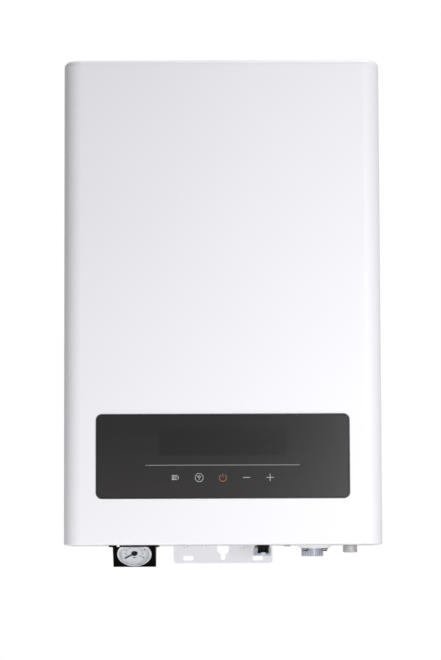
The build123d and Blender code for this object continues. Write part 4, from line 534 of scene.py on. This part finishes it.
def stroke_tree():
    """A flat printed stroke along every line of a curve."""
    tree = Tree(
        "printed stroke",
        Width=("NodeSocketFloat", 0.9 * MM),
        Ink=("NodeSocketFloat", 0.08 * MM),
        Finish=("NodeSocketMaterial", None),
    )
    nib = tree.node(
        "GeometryNodeCurvePrimitiveQuadrilateral",
        None,
        {"Width": tree.start.outputs["Width"], "Height": tree.start.outputs["Ink"]},
    )
    level = tree.node(
        "GeometryNodeSetCurveNormal", {"mode": "Z_UP"}, {"Curve": tree.start.outputs[0]}
    )
    ribbon = tree.node(
        "GeometryNodeCurveToMesh",
        None,
        {"Curve": level.outputs[0], "Profile Curve": nib.outputs[0], "Fill Caps": True},
    )
    return tree.finish(ribbon.outputs[0])


def tick_tree():
    """Scale marks of a dial, spread over an arc."""
    tree = Tree(
        "dial scale",
        Marks=("NodeSocketInt", 21),
        Radius=("NodeSocketFloat", 17 * MM),
        Start=("NodeSocketFloat", 0.0),
        Sweep=("NodeSocketFloat", math.pi),
        Length=("NodeSocketFloat", 2.5 * MM),
        Width=("NodeSocketFloat", 0.3 * MM),
        Ink=("NodeSocketFloat", 0.06 * MM),
        Finish=("NodeSocketMaterial", None),
    )
    start = tree.start.outputs
    sides = {"X": start["Length"], "Y": start["Width"], "Z": start["Ink"]}
    size = tree.node("ShaderNodeCombineXYZ", None, sides)
    mark = tree.node("GeometryNodeMeshCube", None, {"Size": size.outputs[0]})
    points = tree.node("GeometryNodePoints", None, {"Count": start["Marks"]})
    index = tree.node("GeometryNodeInputIndex")
    gaps = tree.node("ShaderNodeMath", {"operation": "SUBTRACT"}, {0: start["Marks"], 1: 1.0})
    share = tree.node(
        "ShaderNodeMath", {"operation": "DIVIDE"}, {0: index.outputs[0], 1: gaps.outputs[0]}
    )
    turn = tree.node(
        "ShaderNodeMath",
        {"operation": "MULTIPLY_ADD"},
        {0: share.outputs[0], 1: start["Sweep"], 2: start["Start"]},
    )
    cosine = tree.node("ShaderNodeMath", {"operation": "COSINE"}, {0: turn.outputs[0]})
    sine = tree.node("ShaderNodeMath", {"operation": "SINE"}, {0: turn.outputs[0]})
    times = {"operation": "MULTIPLY"}
    beside = tree.node("ShaderNodeMath", times, {0: cosine.outputs[0], 1: start["Radius"]})
    above = tree.node("ShaderNodeMath", times, {0: sine.outputs[0], 1: start["Radius"]})
    spot = tree.node("ShaderNodeCombineXYZ", None, {"X": beside.outputs[0], "Y": above.outputs[0]})
    placed = tree.node(
        "GeometryNodeSetPosition",
        None,
        {"Geometry": points.outputs[0], "Position": spot.outputs[0]},
    )
    lean = tree.node("ShaderNodeCombineXYZ", None, {"Z": turn.outputs[0]})
    marks = tree.node(
        "GeometryNodeInstanceOnPoints",
        None,
        {"Points": placed.outputs[0], "Instance": mark.outputs[0], "Rotation": lean.outputs[0]},
    )
    return tree.finish(marks.outputs[0])


def screw_tree():
    """Cross-recessed screws: one head is cut and set on every point along the way it faces."""
    tree = Tree(
        "pan screws",
        Places=("NodeSocketObject", None),
        Recess_Length=("NodeSocketFloat", 4.2 * MM),
        Recess_Width=("NodeSocketFloat", 0.9 * MM),
        Recess_Top=("NodeSocketFloat", 2.8 * MM),
        Recess_Depth=("NodeSocketFloat", 1.6 * MM),
        Finish=("NodeSocketMaterial", None),
    )
    start = tree.start.outputs
    centre = tree.node("ShaderNodeCombineXYZ", None, {"Z": start["Recess Top"]})
    cutters = []
    for long_way in (True, False):
        length, width = start["Recess Length"], start["Recess Width"]
        sides = {"X": length if long_way else width, "Y": width if long_way else length}
        size = tree.node("ShaderNodeCombineXYZ", None, {**sides, "Z": start["Recess Depth"]})
        bar = tree.node("GeometryNodeMeshCube", None, {"Size": size.outputs[0]})
        moved = tree.node(
            "GeometryNodeTransform",
            None,
            {"Geometry": bar.outputs[0], "Translation": centre.outputs[0]},
        )
        cutters.append(moved.outputs[0])
    cut = {"operation": "DIFFERENCE"}
    once = tree.node("GeometryNodeMeshBoolean", cut, {"Mesh 1": start[0], "Mesh 2": cutters[0]})
    halves = {"Mesh 1": once.outputs[0], "Mesh 2": cutters[1]}
    twice = tree.node("GeometryNodeMeshBoolean", cut, halves)
    places = tree.node("GeometryNodeObjectInfo", None, {"Object": start["Places"]})
    vectors = {"data_type": "FLOAT_VECTOR"}
    way = tree.node("GeometryNodeInputNamedAttribute", vectors, {"Name": "way"})
    aim = tree.node("FunctionNodeAlignRotationToVector", {"axis": "Z"}, {"Vector": way.outputs[0]})
    screws = tree.node(
        "GeometryNodeInstanceOnPoints",
        None,
        {
            "Points": places.outputs["Geometry"],
            "Instance": twice.outputs[0],
            "Rotation": aim.outputs[0],
        },
    )
    return tree.finish(screws.outputs[0])


stroke = stroke_tree()
dial_scale = tick_tree()
pan_screws = screw_tree()


def lathe(profile, steps=48):
    """A closed turned mesh from radius and height pairs, about Z."""
    shape = bmesh.new()
    corners = [shape.verts.new((radius, 0, height)) for radius, height in profile]
    edges = [shape.edges.new(pair) for pair in zip(corners, corners[1:] + corners[:1])]
    bmesh.ops.spin(
        shape,
        geom=corners + edges,
        cent=(0, 0, 0),
        axis=(0, 0, 1),
        angle=2 * math.pi,
        steps=steps,
        use_merge=True,
        use_duplicate=False,
    )
    bmesh.ops.remove_doubles(shape, verts=shape.verts, dist=1e-7)
    bmesh.ops.recalc_face_normals(shape, faces=shape.faces)
    mesh = bpy.data.meshes.new("turned")
    shape.to_mesh(mesh)
    shape.free()
    return mesh


def smooth(mesh, angle=0.6):
    mesh.shade_smooth()
    mesh.set_sharp_from_angle(angle=angle)
    return mesh


def arc(centre, radius, start, end, steps=24):
    """Points along an arc in degrees."""
    turns = [math.radians(start + (end - start) * step / steps) for step in range(steps + 1)]
    return [(centre[0] + radius * math.cos(t), centre[1] + radius * math.sin(t)) for t in turns]


def printed(name, lines, place, width, finish):
    """Printed signs from lines of points in millimetres; a line is (points, closed)."""
    curve = bpy.data.curves.new("lines", "CURVE")
    curve.dimensions = "3D"
    for points, closed in lines:
        spline = curve.splines.new("POLY")
        spline.points.add(len(points) - 1)
        for point, (x, y) in zip(spline.points, points):
            point.co = (x * MM, y * MM, 0, 1)
        spline.use_cyclic_u = closed
    mesh = through_tree(curve, stroke, {"Width": width * MM, "Finish": finish.material})
    return to_piece(name, set_down(mesh, place), finish)


# Signs on the control panel, printed on the front of the glass

ink_height = 0.05 * MM
glass_front = glass_low[1]
rule_rise = 111.6 * MM
keys_rise = 94.1 * MM
key_pitch = 33.3


def on_glass(x, rise):
    """A place on the glass: local X to the right, local Y up, local Z out of the glass."""
    facing = Matrix(((1, 0, 0), (0, 0, -1), (0, 1, 0))).to_4x4()
    return Matrix.Translation((x, glass_front - ink_height, low + rise)) @ facing


printed("panel_rule", [([(-108.5, 0), (108.0, 0)], False)], on_glass(0, rule_rise), 0.8, sign_grey)

octagon = [
    (6.0 * math.cos(math.radians(turn)), 6.0 * math.sin(math.radians(turn)))
    for turn in range(23, 383, 45)
]
waves = [
    (octagon, True),
    (arc((0, -2.2), 4.4, 48, 132), False),
    (arc((0, -2.2), 2.5, 48, 132), False),
    (arc((0, -2.2), 0.45, 0, 360, 12), True),
]
printed("sign_wireless", waves, on_glass(-key_pitch * MM, keys_rise), 0.55, sign_pale)

heat = [
    ([(-4.6, -3.4), (-4.6, 3.6)], False),
    ([(-2.6, -3.4), (-2.6, 3.6)], False),
    ([(-0.6, -3.4), (-0.6, 3.6)], False),
    ([(-5.2, 3.0), (0.2, 3.0)], False),
    ([(-5.2, -2.6), (0.2, -2.6)], False),
    ([(1.6, 3.8), (2.4, 2.6), (1.6, 1.2), (2.4, 0.0)], False),
    ([(3.6, 1.6), (4.4, 0.4), (3.6, -1.0), (4.4, -2.2)], False),
    ([(1.4, -1.4), (2.0, -2.4), (1.4, -3.6)], False),
]
printed("sign_heating", heat, on_glass(-2 * key_pitch * MM, keys_rise), 0.6, sign_pale)

power = [(arc((0, -0.4), 4.9, 122, 418, 40), False), ([(0, 0.4), (0, 5.2)], False)]
printed("sign_power", power, on_glass(0, keys_rise), 0.7, sign_orange)
minus = [([(-5.0, 0), (5.0, 0)], False)]
printed("sign_less", minus, on_glass(key_pitch * MM, keys_rise), 0.6, sign_pale)
cross = [([(-5.0, 0), (5.0, 0)], False), ([(0, -5.0), (0, 5.0)], False)]
printed("sign_more", cross, on_glass(2 * key_pitch * MM, keys_rise), 0.6, sign_pale)


# Gauge: its place comes from the needle's joint

gauge_out = -Vector(needle_joint["axis"]).normalized()
gauge_right = Vector((1, 0, 0))
gauge_up = gauge_out.cross(gauge_right)
gauge_turn = Matrix((gauge_right, gauge_up, gauge_out)).transposed().to_4x4()
gauge_place = Matrix.Translation(needle_joint["pos_m"]) @ gauge_turn
dial_level = -2.4 * MM
zero_turn = 218.0
full_turn = needle_joint["range_deg"][1]
full_scale = 4


def on_dial(x, y, lift=0.03):
    """A place on the dial, x and y from the needle's axis in millimetres."""
    return gauge_place @ Matrix.Translation((x * MM, y * MM, dial_level + lift * MM))


empty = bpy.data.meshes.new("empty")
for name, marks, radius, length, width in (
    ("scale_fine", 41, 12.0, 1.2, 0.2),
    ("scale_main", 9, 12.4, 2.8, 0.8),
    ("scale_end", 2, 11.4, 6.4, 0.9),
):
    sizes = {
        "Marks": marks,
        "Radius": radius * MM,
        "Start": math.radians(zero_turn),
        "Sweep": -math.radians(full_turn),
        "Length": length * MM,
        "Width": width * MM,
        "Finish": dial_ink.material,
    }
    to_piece(name, set_down(through_tree(empty.copy(), dial_scale, sizes), on_dial(0, 0)), dial_ink)


figure_weight = 0.12 * MM
figure_ring = 16.2


def lettering(name, words, x, y, height):
    """Upright figures on the dial, made a mesh before they are set down."""
    text = bpy.data.curves.new(name, "FONT")
    text.body = words
    text.size = height * MM
    text.align_x = "CENTER"
    text.align_y = "CENTER"
    text.extrude = 0.02 * MM
    text.offset = figure_weight
    holder = bpy.data.objects.new("holder", text)
    bpy.context.scene.collection.objects.link(holder)
    ready = holder.evaluated_get(bpy.context.evaluated_depsgraph_get())
    mesh = bpy.data.meshes.new_from_object(ready)
    bpy.data.objects.remove(holder)
    return to_piece(name, set_down(mesh, on_dial(x, y)), dial_ink)


for figure in range(full_scale + 1):
    turn = math.radians(zero_turn - full_turn * figure / full_scale)
    x, y = figure_ring * math.cos(turn), figure_ring * math.sin(turn)
    lettering(f"figure_{figure}", str(figure), x, y, 5.6)
lettering("dial_unit", "bar", 0, -9.6, 4.2)


# Needle cap: a low domed button that rides on the pointer over its hub

cap_outline = [
    (3.85, -1.95), (4.2, -1.95), (4.2, -0.3), (3.9, 0.02), (3.1, 0.26),
    (1.6, 0.4), (0, 0.44), (0, 0.2), (3.0, 0.16),
]
needle_cap = lathe([(radius * MM, level * MM) for radius, level in cap_outline], 40)
needle_cap = smooth(set_down(needle_cap, gauge_place))
to_piece("needle_cap", needle_cap, needle_black, "gauge_pointer")


# Screws with cross recesses stand for the plain ones of the frame

head_radius = 3.7 * MM
head_height = 2.6 * MM
shank_radius = 2.0 * MM
shank_length = 8 * MM


def pan_head(radius, height, shank_length):
    """Outline of a pan-head screw: a low dome over a short rim, and its shank behind."""
    rim = 0.35 * height
    dome = [
        (radius * math.cos(t) ** 0.5, rim + (height - rim) * math.sin(t))
        for t in [math.radians(step * 15) for step in range(6)]
    ]
    shank = [(0, -shank_length), (shank_radius, -shank_length), (shank_radius, 0)]
    return [*shank, (radius, 0), *dome, (0, height)]


def screw_mesh(places, radius=head_radius, height=head_height, outline=None, finish=screw_zinc):
    """Screws of one size at places of (point, way out), or rings of an outline of their own."""
    spots = bpy.data.meshes.new("spots")
    spots.from_pydata([place for place, way in places], [], [])
    ways = spots.attributes.new("way", "FLOAT_VECTOR", "POINT")
    for index, (place, way) in enumerate(places):
        ways.data[index].vector = way
    holder = bpy.data.objects.new("spots", spots)
    bpy.context.scene.collection.objects.link(holder)
    sizes = {
        "Places": holder,
        "Recess Length": radius * 1.15,
        "Recess Width": radius * 0.26,
        "Recess Top": height,
        "Recess Depth": height * 1.1,
        "Finish": finish.material,
    }
    turned = lathe(outline or pan_head(radius, height, shank_length), 32)
    mesh = through_tree(turned, pan_screws, sizes)
    bpy.data.objects.remove(holder)
    return mesh


def screws(name, node, meshes):
    """One piece of all the screws, for the node they stand for."""
    shape = bmesh.new()
    for mesh in meshes:
        shape.from_mesh(mesh)
    whole = bpy.data.meshes.new(name)
    shape.to_mesh(whole)
    shape.free()
    piece = to_piece(name, smooth(whole), screw_zinc)
    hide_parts(node)
    return piece


case_low, case_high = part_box("front_cover")
side_levels = (low + 60 * MM, (low + case_high[2]) / 2, case_high[2] - 60 * MM)
screw_row_y = -14 * MM
side_places = [
    ((side * case_high[0], screw_row_y, level), (side, 0, 0))
    for side in (-1, 1)
    for level in side_levels
]
screws("cover_screw_set", "cover_screws", [screw_mesh(side_places)])

seat_low, seat_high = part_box("flow_seat")
union_low, union_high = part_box("flow_union")
union_middle = [(union_low[axis] + union_high[axis]) / 2 for axis in (0, 1)]
seat_middle = (seat_low[0] + seat_high[0]) / 2
holder_low, holder_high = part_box("gauge_bracket")
holder_middle = (holder_low[0] + holder_high[0]) / 2
down = (0, 0, -1)
rear_places = [((x * MM, screw_row_y, low), down) for x in (-56, -28, 29, 56)]
holder_aside = 28 * MM
holder_row_y = holder_high[1] - 4.5 * MM
holder_places = [
    ((holder_middle + side * holder_aside, holder_row_y, low - 2 * MM), down) for side in (-1, 1)
]
nose_places = [((holder_middle - 22 * MM, holder_low[1] - 3.4 * MM, low), down)]
seat_aside = 13.95 * MM
seat_row_y = union_middle[1] - 21 * MM
seat_places = [
    ((seat_middle + side * seat_aside, seat_row_y, seat_low[2]), down) for side in (-1, 1)
]
under_meshes = [
    screw_mesh(rear_places, 3.2 * MM, 2.2 * MM),
    screw_mesh(holder_places),
    screw_mesh(nose_places, 2.3 * MM, 2.4 * MM),
    screw_mesh(seat_places, 3.6 * MM, 3.1 * MM),
]
screws("underside_screw_set", "underside_screws", under_meshes)

# Dark washers and crown rings round the seat screw heads: painted reflection, for the dark edges
# that shiny heads show
washer = [(3.75, 0), (4.8, 0), (4.8, 1.3), (4.5, 1.6), (3.75, 1.6)]
crown = [(2.35, 2.8), (3.65, 2.6), (3.6, 3.6), (3.1, 3.9), (2.35, 3.8)]
for name, outline in (("seat_washers", washer), ("seat_crowns", crown)):
    outline = [(radius * MM, level * MM) for radius, level in outline]
    rings = screw_mesh(seat_places, 0.9 * MM, 0.4 * MM, outline=outline, finish=dark_rim_reflection)
    to_piece(name, smooth(rings), dark_rim_reflection)


# Safety valve spring: a wound wire in place of the frame's spring; the share it would shorten by as
# the stem lifts is worked out but not applied

spring_wire = 0.8 * MM
spring_turns = 6
spring_low, spring_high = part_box("safety_valve_spring")
lift_joint = next(joint for joint in frame["joints"] if joint["name"] == "safety_stem_lift")
spring_middle = [(spring_low[axis] + spring_high[axis]) / 2 for axis in (0, 1)]
spring_mean = (spring_high[1] - spring_low[1]) / 2 - spring_wire
spring_length = spring_high[2] - spring_low[2]
winding = bpy.data.curves.new("winding", "CURVE")
winding.dimensions = "3D"
winding.bevel_depth = spring_wire
winding.bevel_resolution = 3
winding.use_fill_caps = True
steps = 24 * spring_turns
wire = winding.splines.new("POLY")
wire.points.add(steps)
for step, point in enumerate(wire.points):
    turn = 2 * math.pi * spring_turns * step / steps
    x = spring_middle[0] + spring_mean * math.cos(turn)
    y = spring_middle[1] + spring_mean * math.sin(turn)
    rise = (spring_length - 2 * spring_wire) * step / steps
    point.co = (x, y, spring_low[2] + spring_wire + rise, 1)
wound = bpy.data.objects.new("winding", winding)
bpy.context.scene.collection.objects.link(wound)
ready = wound.evaluated_get(bpy.context.evaluated_depsgraph_get())
spring_mesh = bpy.data.meshes.new_from_object(ready)
bpy.data.objects.remove(wound)
spring = to_piece("relief_spring", smooth(spring_mesh, 1.0), screw_zinc)
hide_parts("safety_valve_spring")
shortened = 1 - lift_joint["range_m"][1] / spring_length
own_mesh(spring)


# Pipe threads stand for the plain nipples of the frame

def threaded_nipple(name, node, profile_below, profile_above, thread, finish):
    """A turned nipple whose thread winds up between two levels, all radii and heights in metres."""
    around = 72
    rows = max(2, round((thread["high"] - thread["low"]) / thread["pitch"] * 8))
    low_x, high_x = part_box(node)
    centre = Vector(((low_x[0] + high_x[0]) / 2, (low_x[1] + high_x[1]) / 2, low))
    shape = bmesh.new()
    rings = []

    def ring(radius_at, height):
        turns = [2 * math.pi * step / around for step in range(around)]
        rings.append([
            shape.verts.new((radius_at(t) * math.cos(t), radius_at(t) * math.sin(t), height))
            for t in turns
        ])

    for radius, height in profile_below:
        ring(lambda t, radius=radius: radius, height)
    for row in range(rows + 1):
        height = thread["low"] + (thread["high"] - thread["low"]) * row / rows
        fade = min(1.0, 1.6 * row / 8, 1.6 * (rows - row) / 8)

        def radius_at(t, height=height, fade=fade):
            phase = (height / thread["pitch"] + t / (2 * math.pi)) % 1.0
            crest = 1 - abs(2 * phase - 1)
            return thread["root"] + thread["depth"] * fade * min(1.0, crest * 1.6)

        ring(radius_at, height)
    for radius, height in profile_above:
        ring(lambda t, radius=radius: radius, height)
    for first, second in zip(rings, rings[1:] + rings[:1]):
        for step in range(around):
            after = (step + 1) % around
            shape.faces.new((first[step], first[after], second[after], second[step]))
    bmesh.ops.recalc_face_normals(shape, faces=shape.faces)
    mesh = bpy.data.meshes.new(name)
    shape.to_mesh(mesh)
    shape.free()
    piece = to_piece(name, smooth(set_down(mesh, Matrix.Translation(centre))), finish)
    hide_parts(node)
    return piece


pipe_pitch = 1.814 * MM
thread_depth = 0.9 * MM
return_radius = 13.22 * MM
nipple_foot = [(9.0, -15.2), (11.9, -15.2)]
nipple_neck = [(11.3, -3.4), (11.3, 1.5), (16, 1.5), (16, 8), (11, 8), (11, 20), (9, 20)]
threaded_nipple(
    "return_nipple",
    "return_stub",
    [(radius * MM, height * MM) for radius, height in nipple_foot],
    [(radius * MM, height * MM) for radius, height in nipple_neck],
    {
        "low": -14.9 * MM,
        "high": -3.6 * MM,
        "root": return_radius - thread_depth,
        "depth": thread_depth,
        "pitch": pipe_pitch,
    },
    nipple_grey,
)


# Camera: fitted to the photograph, just below the casing's foot and looking slightly up

camera_distance = 3.778
camera_drop = 30 * MM
camera_up = math.radians(5.029)
camera_roll = math.radians(-0.2)
camera_aside = -2.6 * MM
frame_height_px = 660
focal_px = 2682.3
sensor = 36.0

lens = bpy.data.cameras.new("camera")
lens.sensor_fit = "VERTICAL"
lens.sensor_height = sensor
lens.sensor_width = sensor
lens.lens = focal_px / frame_height_px * sensor
lens.clip_end = 60.0
camera = bpy.data.objects.new("camera", lens)
camera.location = (camera_aside, case_low[1] - camera_distance, low - camera_drop)
looking = Matrix.Rotation(math.pi / 2 + camera_up, 3, "X")
camera.rotation_euler = (looking @ Matrix.Rotation(camera_roll, 3, "Z")).to_euler()
bpy.context.scene.collection.objects.link(camera)
bpy.context.scene.camera = camera


# Floor, surroundings and lamps

def floor_finish(middle, near, far):
    """A pale floor that keeps its shadow and fades to white towards its edge."""
    finish = Finish("floor", (0.86, 0.86, 0.86, 1.0), {"Roughness": 0.9})
    bare = finish.bare
    away = finish.away_from(middle)
    path = bare.node("ShaderNodeLightPath").socket.node
    seen = Wire(finish.tree, path.outputs["Is Camera Ray"])
    for kind in ("Is Glossy Ray", "Is Transmission Ray"):
        seen = seen.maths("MAXIMUM", seen, Wire(finish.tree, path.outputs[kind]))
    shine = bare.node("ShaderNodeEmission", None, {"Color": (1, 1, 1, 1), "Strength": 1.0})
    mix = finish.tree.nodes.new("ShaderNodeMixShader")
    finish.tree.links.new((away.between(near, far) * seen).socket, mix.inputs[0])
    finish.tree.links.new(finish.shader.outputs[0], mix.inputs[1])
    finish.tree.links.new(shine.socket, mix.inputs[2])
    finish.tree.links.new(mix.outputs[0], finish.tree.nodes["Material Output"].inputs["Surface"])
    return finish


floor_drop = 1.6
floor_radius = 2.4
floor_sheet = 0.02
floor_level = low - floor_drop
floor_mesh = lathe([(0, 0), (floor_radius, 0), (floor_radius, -floor_sheet), (0, -floor_sheet)], 96)
set_down(floor_mesh, Matrix.Translation((0, 0, floor_level)))
floor = bpy.data.objects.new("floor", floor_mesh)
floor_mesh.materials.append(floor_finish((0, 0, floor_level), 0.15, 1.1).material)
bpy.context.scene.collection.objects.link(floor)

world = bpy.data.worlds.new("studio")
bpy.context.scene.world = world
world.use_nodes = True
sky = Wire(world.node_tree)
ray = sky.node("ShaderNodeLightPath").socket.node
shown = Wire(world.node_tree, ray.outputs["Is Camera Ray"])
for kind in ("Is Glossy Ray", "Is Transmission Ray"):
    shown = shown.maths("MAXIMUM", shown, Wire(world.node_tree, ray.outputs[kind]))
ambient = 0.245
background = world.node_tree.nodes["Background"]
background.inputs["Color"].default_value = (1, 1, 1, 1)
world.node_tree.links.new((shown * (1 - ambient) + ambient).socket, background.inputs["Strength"])


def soft_lamp(name, place, towards, size, power):
    """A rectangular lamp of a size in metres and a power in watts, turned towards a point."""
    lamp = bpy.data.lights.new(name, "AREA")
    lamp.shape = "RECTANGLE"
    lamp.size, lamp.size_y = size
    lamp.energy = power
    holder = bpy.data.objects.new(name, lamp)
    holder.location = place
    holder.rotation_euler = (Vector(towards) - Vector(place)).to_track_quat("-Z", "Y").to_euler()
    bpy.context.scene.collection.objects.link(holder)


case_middle = (0, case_low[1], (case_low[2] + case_high[2]) / 2)
soft_lamp("key", (0.62, -1.52, -0.48), case_middle, (0.8, 1.6), 17.6)
soft_lamp("top", (0.65, 0.06, 3.0), case_middle, (1.2, 0.8), 54.0)
soft_lamp("low", (-0.55, -0.79, -1.31), case_middle, (0.8, 0.6), 3.7)

scene = bpy.context.scene
scene.view_settings.view_transform = "Standard"
